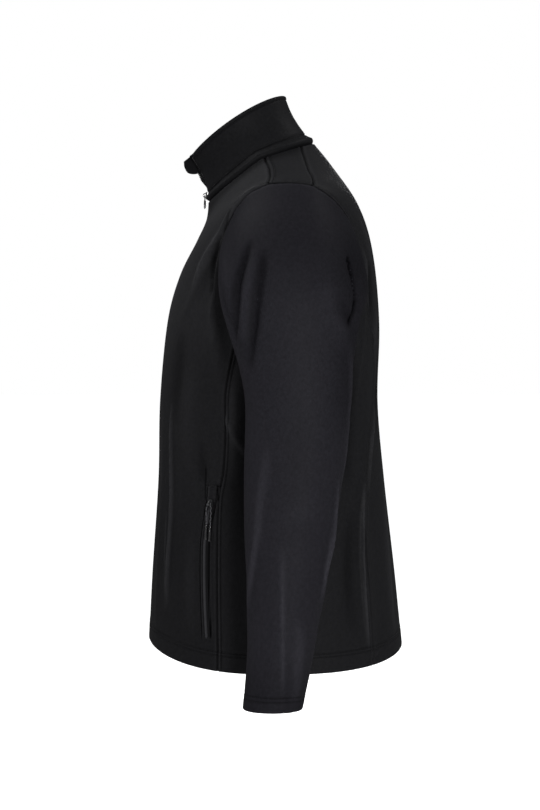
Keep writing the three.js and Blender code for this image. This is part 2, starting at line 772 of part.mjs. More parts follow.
// Sleeve: rows run down from the armhole to the cuff
const sleeveCells = sleeve.points.map((row, j) =>
  row.map((point, i) => {
    const own = sleeve.normals[j][i];
    if (j > 0) {
      const turnedUp = j >= sleeve.points.length - 2;
      return { point: point.clone(), normal: own, depth: turnedUp ? HEM_CLOTH : CLOTH };
    }
    const [angle, level] = armholeRing[i];
    const { normal, stretch } = mitre(own, bodyNormal(angle, level));
    return { point: point.clone(), normal, depth: CLOTH * stretch };
  }),
);
standBack(sleeveCells, true);
const sleeveGeometry = wallGeometry(sleeveCells, true);

// Collar
const collarCells = COLLAR_STOPS.map((v, j) =>
  neckRing.map((place) => {
    const u = neckShare(place[0]);
    const own = collarNormal(u, v);
    const point = collarPoint(u, v).addScaledVector(own, collarSwell(v));
    if (j > 0) return { point, normal: own, depth: COLLAR_CLOTH + collarSwell(v) };
    const { normal, stretch } = mitre(own, bodyNormal(place[0], place[1]));
    return { point, normal, depth: COLLAR_CLOTH * stretch };
  }),
);
standBack(collarCells, false);
const collarGeometry = wallGeometry(collarCells, false);

// Front zip: each tape has a chain strip along its edge. A frame is the cloth edge's point, the direction
// across the zip and the outward normal.

function zipFrames(side) {
  const frames = frontLevels.slice(0, -1).map((level) => {
    const point = smoothBody(middleAngle(level), level);
    const normal = normalOf(smoothBody, 0, level, 0.01, 0.03);
    return { point, across: new THREE.Vector3(-1, 0, 0), normal };
  });
  frames[0].point.z += 1.5;
  const stops = [0.02, ...COLLAR_STOPS.slice(2, -1), 0.985];
  for (const v of stops) {
    const u = side > 0 ? 0 : 1;
    const point = collarPoint(u, v);
    const inside = collarPoint(side > 0 ? 0.012 : 0.988, v);
    const across = point.clone().sub(inside).normalize();
    const normal = collarNormal(u, v);
    const opened = smoothstep(COLLAR_JOINED, 0.5, v);
    point.x = side * max(abs(point.x), ZIP_EDGE);
    across.lerp(new THREE.Vector3(-side, 0, 0), 1 - opened).normalize();
    normal.x *= opened;
    frames.push({ point, across, normal: normal.normalize() });
  }
  if (side < 0)
    for (const frame of frames.slice(0, frontLevels.length - 1)) {
      frame.point.x *= -1;
      frame.across.x *= -1;
    }
  return frames;
}

function stripGeometry(frames, section, side) {
  const rings = frames.map(({ point, across, normal }) =>
    section.map(([d, h]) => point.clone().addScaledVector(across, d).addScaledVector(normal, h)),
  );
  const count = section.length;
  const positions = rings.flat();
  const faces = [];
  const id = (j, i) => j * count + (i % count);
  for (let j = 0; j < rings.length - 1; j += 1)
    for (let i = 0; i < count; i += 1)
      faces.push([id(j, i), id(j, i + 1), id(j + 1, i + 1)], [id(j, i), id(j + 1, i + 1), id(j + 1, i)]);
  const lid = THREE.ShapeUtils.triangulateShape(section.map(([d, h]) => new THREE.Vector2(d, h)), []);
  const lastRing = (rings.length - 1) * count;
  for (const [a, b, c] of lid) {
    faces.push([c, b, a]);
    faces.push([lastRing + a, lastRing + b, lastRing + c]);
  }
  const turned = side > 0 ? faces : faces.map(([a, b, c]) => [a, c, b]);
  return geometryOf(positions, turned);
}

const chainIn = ZIP_EDGE - CENTRE_GAP - CHAIN_WIDTH;
const chainOut = ZIP_EDGE - CENTRE_GAP;
const tapeSection = [
  [-TAPE_UNDER, TAPE_FRONT],
  [-TAPE_UNDER, TAPE_FRONT - TAPE_WALL],
  [chainOut, TAPE_FRONT - TAPE_WALL],
  [chainOut, CHAIN_FRONT],
  [chainIn, CHAIN_FRONT],
  [chainIn, TAPE_FRONT],
];

// The chin guard, in rows up the collar and columns along its section
function guardGeometry() {
  const edge = COLLAR_STOPS[1];
  const cells = GUARD_ROWS.map(({ v, reach }) => {
    const point = collarPoint(1, v);
    const across = point.clone().sub(collarPoint(1 - edge / 4, v)).normalize();
    const normal = collarNormal(1, v);
    const place = (at) =>
      point
        .clone()
        .addScaledVector(across, column(GUARD_SECTION, "across", at))
        .addScaledVector(normal, column(GUARD_SECTION, "out", at));
    return Array.from({ length: GUARD_COLUMNS + 1 }, (_, i) => {
      const at = (reach * i) / GUARD_COLUMNS;
      const along = place(at + 0.05).sub(place(max(at - 0.05, 0))).normalize();
      const up = collarPoint(1, v + 0.02).sub(collarPoint(1, v - 0.02)).normalize();
      return { point: place(at), normal: along.cross(up).normalize(), depth: GUARD_WALL };
    });
  });
  return wallGeometry(cells, false);
}

// Joining closed geometries into one body

function solidOf(geometry) {
  const plain = geometry.index ? geometry.toNonIndexed() : geometry.clone();
  for (const name of Object.keys(plain.attributes)) if (name !== "position") plain.deleteAttribute(name);
  const merged = mergeVertices(plain, 1e-4);
  return new wasm.Manifold(
    new wasm.Mesh({
      numProp: 3,
      vertProperties: merged.attributes.position.array,
      triVerts: new Uint32Array(merged.index.array),
    }),
  );
}

function geometryOfSolid(solid) {
  const mesh = solid.getMesh();
  const geometry = new THREE.BufferGeometry();
  geometry.setAttribute("position", new THREE.BufferAttribute(new Float32Array(mesh.vertProperties), 3));
  geometry.setIndex([...mesh.triVerts]);
  return geometry;
}

const joined = (...geometries) =>
  geometryOfSolid(geometries.map(solidOf).reduce((whole, piece) => whole.add(piece)));

// A plate in the x-z plane with rounded corners, its back face at y 0 and its front at -wall.
function plate(width, height, wall, round, holes = []) {
  const w = width / 2 - round;
  const h = height / 2 - round;
  const shape = new THREE.Shape();
  shape.absarc(w, -h, round, -PI / 2, 0);
  shape.absarc(w, h, round, 0, PI / 2);
  shape.absarc(-w, h, round, PI / 2, PI);
  shape.absarc(-w, -h, round, PI, 1.5 * PI);
  shape.closePath();
  shape.holes = holes;
  const geometry = new THREE.ExtrudeGeometry(shape, { depth: wall, bevelEnabled: false, curveSegments: 3 });
  return geometry.rotateX(PI / 2);
}

// An arch in the y-z plane standing forward of y 0, cut through for the pull tab's bar.
function bridge({ width, top, bottom, reach, wall }) {
  const outline = (grow) => [
    [0.4, top - wall + grow],
    [-(reach - wall + grow) * 0.72, top - wall - 0.8 + grow],
    [-(reach - wall + grow), (top + bottom) / 2 + 0.9],
    [-(reach - wall + grow), (top + bottom) / 2 - 0.9],
    [-(reach - wall + grow) * 0.72, bottom + wall + 0.5 - grow],
    [0.4, bottom + wall - grow],
  ];
  const points = [...outline(wall), ...outline(0).reverse()].map(([y, z]) => new THREE.Vector2(y, z));
  const shape = new THREE.Shape(points);
  const geometry = new THREE.ExtrudeGeometry(shape, { depth: width, bevelEnabled: false });
  // The shape's x is y and its y is z, so the extrusion runs along x.
  geometry.applyMatrix4(new THREE.Matrix4().set(0, 0, 1, -width / 2, 1, 0, 0, 0, 0, 1, 0, 0, 0, 0, 0, 1));
  return geometry;
}

const sliderBack = collarPoint(0, SLIDER_TOP_SHARE).y - CHAIN_FRONT - SLIDER_LIFT;
const sliderSolid = joined(
  plate(SLIDER.width, SLIDER.height, SLIDER.wall, 2),
  bridge(BRIDGE).translate(0, -SLIDER.wall, 0),
);
sliderSolid.translate(0, sliderBack, SLIDER_Z);

function pullTab() {
  const { bar, armIn, armOut, neck, length, width, wall } = TAB;
  const rod = new THREE.CylinderGeometry(bar, bar, 2 * armOut - 0.4, 8).rotateZ(PI / 2);
  const arm = (side) =>
    new THREE.BoxGeometry(armOut - armIn, wall * 0.7, neck + 1.8).translate(
      (side * (armIn + armOut)) / 2,
      0,
      -(neck + 1.8) / 2 + 0.9,
    );
  const grip = plate(width, length - neck, wall, 1.8).translate(0, wall / 2, -(length + neck) / 2);
  return joined(rod, arm(1), arm(-1), grip);
}
const tabAxis = { y: sliderBack - SLIDER.wall - TAB.barY, z: SLIDER_Z + TAB.barZ };
const tabSolid = pullTab().translate(0, tabAxis.y, tabAxis.z);

// Hand pocket zip: a strip that lies on the front panel, from the panel's points moved out

// Where the strip's middle lies in the side view at a height.
const pocketY = (z) => column(POCKET_LINE, "y", rowOf(POCKET_LINE, z));

function pocketFrames(lift) {
  return Array.from({ length: POCKET.rows + 1 }, (_, i) => {
    const z = mix(POCKET.bottom, POCKET.top, i / POCKET.rows);
    const [angle, level] = locate({ y: pocketY(z), z });
    const normal = bodyNormal(angle, level);
    const point = bodyPoint(angle, level).addScaledVector(normal, lift);
    const across = bodyPoint(angle + 0.02, level).sub(bodyPoint(angle - 0.02, level)).normalize();
    return { point, across, normal };
  });
}

const pocketSection = [
  [-POCKET.width / 2, 0],
  [POCKET.width / 2, 0],
  [POCKET.width / 2, POCKET.wall * 0.6],
  [1.6, POCKET.wall * 0.6],
  [1.2, POCKET.wall],
  [-1.2, POCKET.wall],
  [-1.6, POCKET.wall * 0.6],
  [-POCKET.width / 2, POCKET.wall * 0.6],
];
const pocketStrip = stripGeometry(pocketFrames(POCKET.lift + 0.35), pocketSection, -1);

// A frame standing on the strip at a height, with its axes as a matrix: x across, y inwards, z up.
function pocketPlace(z, lift) {
  const [angle, level] = locate({ y: pocketY(z), z });
  const normal = bodyNormal(angle, level);
  const point = bodyPoint(angle, level).addScaledVector(normal, lift);
  const up = new THREE.Vector3(0, 0, 1);
  const across = up.clone().cross(normal).normalize();
  up.copy(normal).cross(across);
  return new THREE.Matrix4().makeBasis(across, normal.clone().negate(), up).setPosition(point);
}

const sliderLift = POCKET.lift + 0.35 + POCKET.wall + 0.35;
const pocketSliderMatrix = pocketPlace(POCKET_SLIDER.z, sliderLift);
const pocketBridge = { width: 2, top: 3.6, bottom: -3.4, reach: 4, wall: 1 };
const pocketSlider = joined(
  plate(POCKET_SLIDER.width, POCKET_SLIDER.height, POCKET_SLIDER.wall, 1.6),
  bridge(pocketBridge).translate(0, -POCKET_SLIDER.wall, 0),
).applyMatrix4(pocketSliderMatrix);

// The puller is one cord through the slider's bridge, its two free ends in tips. Points are x, out, z of
// the slider's own frame, from the front tip up through the bridge and down to the back tip.
const CORD_ROUTE = [
  [-4.9, 3.2, -28],
  [-4.6, 3.8, -20],
  [-4.2, 4.4, -12],
  [-3.6, 4.6, -5.5],
  [-2.6, 4.5, -1.5],
  [-1.3, 4.15, 0.2],
  [0, 3.95, 0.6],
  [1.3, 4.15, 0.2],
  [2.4, 4.5, -1.8],
  [2.9, 4.6, -6],
  [2.8, 4.4, -13],
  [2, 3.9, -21],
  [1.2, 3.2, -30],
];

function cordCurve() {
  const points = CORD_ROUTE.map(([x, out, z]) => new THREE.Vector3(x, -out, z).applyMatrix4(pocketSliderMatrix));
  return new THREE.CatmullRomCurve3(points);
}

function cordGeometry() {
  const section = Array.from({ length: CORD.sides }, (_, i) => {
    const turn = (i * 2 * PI) / CORD.sides;
    return new THREE.Vector2((CORD.diameter / 2) * cos(turn), (CORD.diameter / 2) * sin(turn));
  });
  return new THREE.ExtrudeGeometry(new THREE.Shape(section), {
    steps: CORD.steps,
    extrudePath: cordCurve(),
    bevelEnabled: false,
  });
}

function tipGeometry(end) {
  const route = cordCurve();
  const at = route.getPoint(end);
  const direction = route.getTangent(end).multiplyScalar(end ? 1 : -1);
  const r = TIP.diameter / 2;
  const profile = [
    [0, 0.3],
    [r * 0.75, 0.3],
    [r, 2],
    [r, TIP.length - 2],
    [r * 0.6, TIP.length],
    [0, TIP.length],
  ].map(([x, y]) => new THREE.Vector2(x, y));
  const turn = new THREE.Quaternion().setFromUnitVectors(new THREE.Vector3(0, 1, 0), direction);
  return new THREE.LatheGeometry(profile, 10).applyQuaternion(turn).translate(at.x, at.y, at.z);
}

// The model

const jacket = new THREE.Group();
const materials = Object.fromEntries(
  Object.entries(COLOURS).map(([name, look]) => [name, new THREE.MeshStandardMaterial(look)]),
);

function addPiece(name, geometry, material) {
  const mesh = new THREE.Mesh(geometry, materials[material]);
  mesh.name = name;
  jacket.add(mesh);
}

function addPair(name, geometry, material) {
  addPiece(`${name}_L`, geometry, material);
  addPiece(`${name}_R`, mirrored(geometry), material);
}

addPair("front", frontGeometry, "cloth");
addPair("side", sideGeometry, "cloth");
addPiece("back", backGeometry, "cloth");
addPair("shoulder", shoulderGeometry, "cloth");
addPair("sleeve", sleeveGeometry, "sleeve");
addPiece("collar", collarGeometry, "cloth");
addPiece("chin_guard", guardGeometry(), "cloth");
addPiece("zip_tape_L", stripGeometry(zipFrames(1), tapeSection, 1), "zip");
addPiece("zip_tape_R", stripGeometry(zipFrames(-1), tapeSection, -1), "zip");
addPiece("zip_slider", sliderSolid, "zip");
addPiece("zip_pull_tab", tabSolid, "zip");
addPair("pocket_zip", pocketStrip, "zip");
addPair("pocket_slider", pocketSlider, "zip");
addPair("pocket_cord", cordGeometry(), "cord");
addPair("pocket_tip_front", tipGeometry(0), "zip");
addPair("pocket_tip_back", tipGeometry(1), "zip");

export default jacket;
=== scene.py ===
# Softshell jacket in its worn form: the look of every cut piece, zip, puller and row of stitches.
# Tables are in millimetres in the part's frame: +Z up, +X to the wearer's left, front towards -Y.
import math

import bpy
import numpy as np
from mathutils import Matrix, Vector
from mathutils.kdtree import KDTree


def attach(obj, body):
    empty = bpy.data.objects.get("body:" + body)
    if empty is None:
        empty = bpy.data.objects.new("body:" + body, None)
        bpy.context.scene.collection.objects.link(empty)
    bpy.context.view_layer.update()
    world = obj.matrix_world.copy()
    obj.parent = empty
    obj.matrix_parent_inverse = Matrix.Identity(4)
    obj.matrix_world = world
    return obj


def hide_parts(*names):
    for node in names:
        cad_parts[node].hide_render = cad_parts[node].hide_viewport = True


MM = 0.001
PI = math.pi

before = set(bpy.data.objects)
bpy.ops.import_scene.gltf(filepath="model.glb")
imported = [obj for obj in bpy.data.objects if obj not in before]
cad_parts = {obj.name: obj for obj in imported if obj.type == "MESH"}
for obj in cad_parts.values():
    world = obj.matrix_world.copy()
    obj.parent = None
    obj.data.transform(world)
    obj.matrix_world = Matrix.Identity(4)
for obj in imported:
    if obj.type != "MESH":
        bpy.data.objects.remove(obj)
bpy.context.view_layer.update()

# Camera: level with the collar's foot, square to the wearer's left side, looking a little down
FOCAL_SHARE = 1786 / 810
SENSOR = 36
CAMERA_PLACE = (2.4912, -0.021, -0.1198)
CAMERA_TARGET = (0, -0.021, -0.329)

# Cloth
CLOTH = 2.0
HEM_CLOTH = 3.0
COLLAR_CLOTH = 2.6
HEM_TURN = 26

# Body rings, hem to neck: z front, side, back; y front, side, back; half width; roundness front, back; dip
LEVELS = np.array(
    [
        (-653, -668, -661, -191, -14, 164, 190, 2.2, 2.4, 2.7),
        (-560, -560, -560, -186, -16, 153.5, 188, 2.2, 2.4, 2),
        (-430, -430, -430, -177, -18, 138, 185, 2.2, 2.5, 2),
        (-320, -320, -320, -174, -14, 128, 190, 2.25, 2.7, 2),
        (-212, -215, -212, -163, -4, 129.5, 201, 2.3, 2.7, 2),
        (-150, -100, -115, -146, 2, 120, 209, 2.3, 2.5, 2),
        (-104, -32, -52, -123, 4, 100, 214, 2.2, 2.3, 1.8),
        (-72, -9, 2, -109, -16, 64.5, 150, 2.1, 2.1, 1.4),
        (-46, 8, 34, -106, -35, 39, 78, 2, 2, 1),
    ]
)
HEM = 0
NECK = len(LEVELS) - 1
# Seams in the side view, as z and y
FRONT_SIDE_SEAM = np.array(
    [(-662, -90), (-520, -91), (-440, -89), (-400, -82), (-350, -79), (-300, -79), (-247, -69), (-190, -56)]
)
BACK_SIDE_SEAM = np.array(
    [(-662, 116), (-586, 110), (-500, 104), (-415, 108), (-354, 114), (-300, 118), (-230, 116), (-150, 100)]
)
SEAM_ROWS = 12
# The armhole in the side view, as y and z
ARMHOLE_FRONT = np.array(
    [(-24, -30), (-46, -41), (-60, -56), (-69, -72), (-75, -93), (-78, -115), (-76, -142), (-69, -168),
     (-56, -190)]
)
ARMHOLE_UNDER = np.array(
    [(-56, -190), (-38, -205), (-10, -214), (18, -216), (48, -209), (74, -196), (92, -176), (100, -150)]
)
ARMHOLE_BACK = np.array([(100, -150), (99, -132), (93, -108), (85, -84), (72, -63), (54, -45), (34, -32)])
ARMHOLE_TOP = np.array([(34, -32), (16, -29), (-4, -28.5), (-24, -30)])
ARMHOLE_MIDDLE = (11, -122)
FRONT_SEGMENTS, UNDER_SEGMENTS, BACK_SEGMENTS, TOP_SEGMENTS = 8, 7, 6, 3
# Row numbers of the panels' top edges, where the hem's turn-up is one row
SIDE_TOP = SEAM_ROWS + 1
FRONT_TOP = SIDE_TOP + FRONT_SEGMENTS
BACK_TOP = SIDE_TOP + BACK_SEGMENTS
TOP_HOLD = 4
NECK_FRONT_SEAM_Y = -28
NECK_BACK_SEAM_Y = 21.5
NECK_BACK_SHARE = 7 / 20

# Main folds of the body: z, angle, width and height by rows
BODY_FOLDS = [
    [(-648, 24, 7, 0), (-600, 23, 8, 1.6), (-430, 22, 9, 2.2), (-300, 21, 10, 0)],
    [(-300, 56, 12, 0), (-217, 57, 12, 4), (-140, 58, 11, 6), (-93, 61, 10, 5), (-60, 66, 9, 0)],
    [(-300, 64, 11, 0), (-217, 65, 11, -4), (-140, 66, 10, -4), (-100, 68, 8, 0)],
    [(-215, 34, 12, 0), (-175, 42, 12, 3), (-135, 50, 11, 3.4), (-100, 57, 9, 0)],
    [(-655, 134, 14, 3), (-560, 134, 13, 5), (-480, 136, 11, 3.5), (-400, 140, 9, 2), (-320, 146, 9, 0)],
    [(-330, 128, 11, 0), (-260, 132, 11, 4), (-190, 136, 10, 4), (-120, 140, 9, 0)],
]
BODY_RADIUS = 175

# Sleeve rings: z, tilt, middle x, half width, front y, back y, squareness
SLEEVE_RINGS = np.array(
    [
        (-222, 34, 262, 53, -71, 88, 2.0),
        (-265, 22, 265, 54, -58.5, 82, 2.05),
        (-310, 12, 269, 55, -52, 78, 2.1),
        (-390, 4, 277, 55, -53.5, 70.5, 2.15),
        (-470, 0, 283, 53, -53, 58.5, 2.1),
        (-550, 0, 289, 49, -49, 44.5, 2.1),
        (-620, 2, 294, 44, -50, 33, 2.1),
        (-684.5, 6, 298, 40, -55, 19.5, 2.1),
    ]
)
CAP_OUT = np.array([0.86, 0, -0.5])
CAP_DOWN = np.array([0.34, 0, -0.94])
CAP_SWELL = 0.34
CAP_START = 0.34
CAP_END = 0.36
SLEEVE_FOLDS = [
    [(-60, 62, 8, 0), (-110, 64, 9, 3), (-180, 60, 9, 4), (-260, 52, 9, 0)],
    [(-80, 78, 7, 0), (-120, 80, 8, -3.5), (-190, 76, 8, -4.5), (-270, 70, 8, 0)],
    [(-90, 306, 9, 0), (-140, 296, 9, -4), (-190, 290, 9, -6), (-225, 292, 9, 0)],
    [(-420, 50, 8, 0), (-480, 62, 8, 2.5), (-560, 74, 8, 2.5), (-610, 80, 8, 0)],
    [(-430, 296, 8, 0), (-490, 290, 8, 2.5), (-540, 284, 8, 2.5), (-580, 280, 8, 0)],
]
SLEEVE_RADIUS = 58

# Collar
TOP_Y_FRONT, TOP_Y_BACK = -131, 0
TOP_Z_FRONT, TOP_Z_BACK = 14, 97.5
TOP_HALF, TOP_SWELL = 64, 11.5
COLLAR_HOLLOW = 6
COLLAR_OPEN = math.radians(17)
COLLAR_JOINED = 0.12
ROLL_HEIGHT, ROLL_MIDDLE, ROLL_WIDTH = 3.2, 0.07, 0.055
BAND_START, BAND_HEIGHT = 0.925, 0.8
FLARE, FLARE_START, FLARE_END, FLARE_REACH = 5, 0.27, 0.5, math.radians(34)
ZIP_EDGE = 6.5

# Creases traced in the side view: rows of y, z, width and height, on the piece named. The right side has its
# own share of each height and is shifted by its own y and z.
CREASES = {
    "front": [
        [(-75, -72, 3, 0), (-84, -91, 3.5, -1.3), (-90.4, -113, 4, -2.2), (-94, -130, 4, -2.2),
         (-97.3, -169, 4, -1.6),
         (-97.7, -195, 4, -0.8), (-99, -226, 4, 0)],
        [(-30, -31, 3, 0), (-48, -39, 3.6, 2), (-65, -58, 4, 2.6), (-80, -81, 4.2, 2.2), (-91, -106, 4.2, 0)],
        [(-79, -84, 5, 0), (-92, -104, 6, 2), (-104, -123, 6.5, 2.6), (-114, -143, 6.5, 2),
         (-124, -165, 6, 0)],
        [(-97, -165, 3.5, 0), (-97.6, -180, 4, 1.3), (-97.4, -205, 4, 1.2), (-97.2, -238, 4, 0)],
        [(-153, -315, 2.8, 0), (-153.5, -360, 2.8, 1.8), (-152.7, -441, 2.8, 2.2), (-155, -495, 2.8, 2.4),
         (-158.5, -543, 2.8, 2), (-159.2, -595, 2.8, 0)],
        [(-160.3, -460, 4, 0), (-161, -500, 4, 1), (-162, -560, 4, 0.9), (-162, -600, 4, 0)],
        [(-112, -360, 8, 0), (-110.5, -400, 8, -1), (-109.6, -416, 6, -0.6), (-109.5, -421, 5, 0)],
        [(-120, -260, 14, 0), (-128, -300, 16, 0.5), (-130, -360, 16, 0.4), (-126, -420, 14, 0)],
        [(-135, -215, 12, 0), (-141, -250, 14, -1.2), (-146, -300, 14, -1), (-149, -350, 12, 0)],
        [(-122, -470, 9, 0), (-126, -520, 10, 0.4), (-127, -570, 10, 0.5), (-125, -630, 9, 0)],
    ],
    "side": [
        [(-60, -250, 7, 0), (-66, -300, 8, 1.6), (-68, -360, 8, 1.2), (-70, -420, 8, 0)],
        [(-40, -240, 9, 0), (-46, -330, 10, -1.6), (-50, -430, 10, -1.1), (-52, -520, 9, 0)],
        [(-20, -300, 9, 0), (-22, -400, 10, 1.4), (-28, -520, 11, 1.6), (-30, -640, 9, 0.6)],
        [(20, -380, 9, 0), (24, -450, 10, -1.4), (26, -560, 10, -1.2), (30, -640, 9, 0)],
        [(86, -230, 7, 0), (84, -290, 8, -2), (80, -360, 8, -1.6), (78, -430, 8, 0)],
        [(106, -415, 2.2, 0), (102.6, -450, 2.2, 1.4), (101.4, -485, 2.2, 2.2), (101.6, -520, 2.2, 2.5),
         (104, -560, 2.2, 2.3), (107.6, -605, 2.2, 1.5), (111.6, -645, 2.2, 0)],
        [(-82, -325, 3, 0), (-77, -337, 3.2, 1.3), (-67, -354, 3.4, 1.5), (-57, -371, 3.2, 1.1),
         (-50, -383, 3, 0)],
        [(88, -450, 8, 0), (84, -500, 9, -0.8), (84, -560, 9, -0.8), (90, -625, 8, 0)],
    ],
    "back": [
        [(95, -70, 5, 0), (103, -92, 6, 1.8), (110, -118, 6, 1.6), (112, -135, 5, 0)],
        [(99, -112, 4, 0), (104, -130, 4.5, 1.6), (104, -160, 4.5, 1.4), (104, -185, 4, 0)],
        [(110, -120, 5, 0), (112, -150, 6, -2), (113, -185, 6, -1.8), (113, -205, 5, 0)],
        [(121, -190, 5, 0), (118, -215, 5, 1.5), (114.5, -240, 5, 1.6), (112, -275, 5, 0)],
        [(124, -240, 6, 0), (124, -290, 7, -1.5), (122, -330, 6, -1.3), (124, -370, 6, 0)],
        [(121, -318, 3.4, 0), (118, -345, 3.6, 1.2), (114, -378, 3.6, 1.5), (111.5, -410, 3.6, 1.1),
         (110, -440, 3.6, 0)],
        [(132, -420, 9, 0), (137, -500, 10, 1.4), (143, -580, 10, 1.2), (150, -640, 9, 0)],
    ],
    "sleeve": [
        [(-44, -100, 4.5, 0), (-51, -120, 5, -1.8), (-58.5, -143, 5.5, -3), (-63, -164, 5.5, -3.4),
         (-64.5, -195, 5.5, -2.8), (-63.5, -228, 5, 0)],
        [(-28, -112, 5, 0), (-31.5, -136, 6, -2), (-37.6, -172, 6.5, -3.2), (-42.4, -208, 6.5, -3),
         (-45.4, -240, 6, -1.6), (-46.5, -268, 5, 0)],
        [(-40, -112, 5, 0), (-45.4, -140, 5, 0.4), (-51, -170, 5, 0.5), (-54, -200, 5, 0.4),
         (-55, -232, 5, 0)],
        [(75, -118, 2.6, 0), (78.6, -134, 2.8, -2.4), (82.4, -152, 3, -4), (84.4, -168, 3, -4.4),
         (83.4, -184, 3, -3.4),
         (79, -198, 3, -1.2), (72, -208, 3, 0)],
        [(56, -166, 8, 0), (66, -186, 9, -1.0), (76, -200, 8, -1.0), (80, -207, 7, 0)],
        [(40, -150, 12, 0), (56, -176, 13, 0.5), (66, -206, 13, 0.6), (68, -245, 12, 0)],
        [(78, -225, 6, 0), (79, -270, 6, 1.2), (76, -320, 5, 1.3), (72, -370, 5, 1.1), (66, -410, 5, 0)],
        [(64, -390, 3, 0), (60, -435, 3.2, 1.6), (54.4, -478, 3.2, 2.1), (48.6, -508, 3.2, 1.8),
         (42, -550, 3, 0)],
        [(-24, -350, 6, 0), (-27.1, -376, 6, 0.8), (-33.2, -419, 5.5, 1.2), (-37, -462, 4.6, 1.6),
         (-41, -491, 4.2, 1.6), (-45.7, -526, 4.2, 1.1), (-49, -560, 4, 0)],
        [(-8, -470, 4, 0), (-6.4, -509, 3.4, 0.7), (-6, -549, 3.4, 0.9), (-6, -580, 3.4, 0.8),
         (-5.6, -627, 3.4, 0.7),
         (-5.4, -662, 3, 0)],
        [(20, -300, 15, 0), (12, -350, 18, -0.3), (4, -400, 16, -0.2), (0, -440, 14, 0)],
        [(-20, -455, 14, 0), (-4, -462, 16, -0.15), (14, -458, 16, -0.15), (30, -446, 14, 0)],
        [(0, -420, 14, 0), (16, -430, 16, 0.15), (34, -424, 16, 0.15), (46, -410, 14, 0)],
        [(14, -560, 7, 0), (16, -600, 7, 1), (12, -650, 7, 0.8), (8, -680, 6, 0)],
    ],
}
RIGHT_CREASES = {
    "front": [(0.9, 3, -8), (0.8, 0, 4), (1.2, -4, -10), (0.7, 2, 14), (1.1, -4, 20), (0.9, -3, -25),
              (0.5, 4, 6),
              (1.2, 6, 18), (0.9, -4, -12), (1.3, 5, 16)],
    "side": [(1.1, 3, 12), (0.8, -4, 18), (1.2, 5, -16), (0.9, -3, 14), (1.1, 3, -10), (0.7, 1, 14),
             (0.8, 6, -20), (1.1, 3, 12)],
    "back": [(0.8, -2, -8), (1.2, 2, 8), (0.9, 3, -8), (1.1, -2, 10), (1.2, 3, -14), (0.7, 1, 16),
             (1.2, 3, 18)],
    "sleeve": [(1.1, 4, -9), (0.8, -5, 12), (1.2, 3, -6), (0.7, -2, 5), (1.1, 4, -6), (0.9, -6, 9),
               (1.2, 2, 16),
               (0.8, -2, -18), (1.1, 4, 20), (0.9, 6, -14), (1.3, -6, 18), (0.8, 8, -16), (1.2, -6, 14),
               (1.1, 4, 8)],
}


# Helpers


def column(rows, at):
    """A table at fractional rows, on a smooth curve through the rows."""
    rows = np.asarray(rows, float)
    at = np.asarray(at, float)
    last = len(rows) - 1
    i = np.clip(np.floor(at).astype(int), 0, last - 1)
    t = at - i
    if rows.ndim > 1:
        t = t[..., None]
    v0, v1 = rows[i], rows[i + 1]
    rise0 = (v1 - rows[np.clip(i - 1, 0, last)]) / 2
    rise1 = (rows[np.clip(i + 2, 0, last)] - v0) / 2
    t2, t3 = t * t, t * t * t
    return v0 * (2 * t3 - 3 * t2 + 1) + rise0 * (t3 - 2 * t2 + t) + v1 * (3 * t2 - 2 * t3) + rise1 * (t3 - t2)


def columns_at(rows, at):
    return np.moveaxis(column(rows, at), -1, 0)


def bell(away):
    return np.exp(-(away**2))


def ridges(away, rows):
    """The sum of ridges given by height, middle and width."""
    return sum(height * bell((away - middle) / width) for height, middle, width in rows)


def run_length(line):
    """How far along a line each of its points lies."""
    return np.concatenate([[0], np.cumsum(np.linalg.norm(np.diff(line, axis=0), axis=1))])


def row_of(heights, z):
    """The fractional row at which a height lies."""
    heights = np.asarray(heights, float)
    index = np.arange(len(heights))
    if heights[0] > heights[-1]:
        heights, index = heights[::-1], index[::-1]
    return np.interp(z, heights, index)


def mix(a, b, t):
    return a + (b - a) * t


def smoothstep(low, high, value):
    t = np.clip((value - low) / (high - low), 0, 1)
    return t * t * (3 - 2 * t)


def unit(v):
    return v / np.maximum(np.linalg.norm(v, axis=-1, keepdims=True), 1e-9)


def folds_at(folds, radius, angle, z):
    """Sum of the folds at angles in degrees and heights."""
    total = np.zeros(np.broadcast(angle, z).shape)
    for rows in folds:
        rows = np.array(rows, float)
        inside = (z > rows[:, 0].min()) & (z < rows[:, 0].max())
        _, middle, width, height = columns_at(rows, row_of(rows[:, 0], z))
        away = (angle - middle + 180) % 360 - 180
        total += np.where(inside, height * bell(np.radians(away) * radius / width), 0)
    return total


# The body's surface


def smooth_body(angle, level):
    at = columns_at(LEVELS, level)
    z_front, z_side, z_back, y_front, y_side, y_back, half, round_front, round_back, dip = at
    c, s = np.cos(angle), np.sin(angle)
    front = c > 0
    power = 2 / np.where(front, round_front, round_back)
    reach = np.abs(c) ** power
    return np.stack(
        [
            np.sign(s) * half * np.abs(s) ** power,
            y_side + (np.where(front, y_front, y_back) - y_side) * reach,
            z_side + (np.where(front, z_front, z_back) - z_side) * np.abs(c) ** dip,
        ],
        -1,
    )


def normal_of(surface, u, v, du, dv):
    along = surface(u + du, v) - surface(u - du, v)
    up = surface(u, np.minimum(v + dv, NECK)) - surface(u, np.maximum(v - dv, HEM))
    return unit(np.cross(along, up))


def body_point(angle, level):
    angle, level = np.broadcast_arrays(np.asarray(angle, float), np.asarray(level, float))
    p = smooth_body(angle, level)
    turned = np.where(angle > PI, 2 * PI - angle, angle)
    height = folds_at(BODY_FOLDS, BODY_RADIUS, np.degrees(turned), p[..., 2])
    return p + normal_of(smooth_body, angle, level, 0.02, 0.02) * height[..., None]


def on_body(place):
    return body_point(place[..., 0], place[..., 1])


def body_normal(angle, level):
    return normal_of(body_point, np.asarray(angle, float), np.asarray(level, float), 0.03, 0.04)


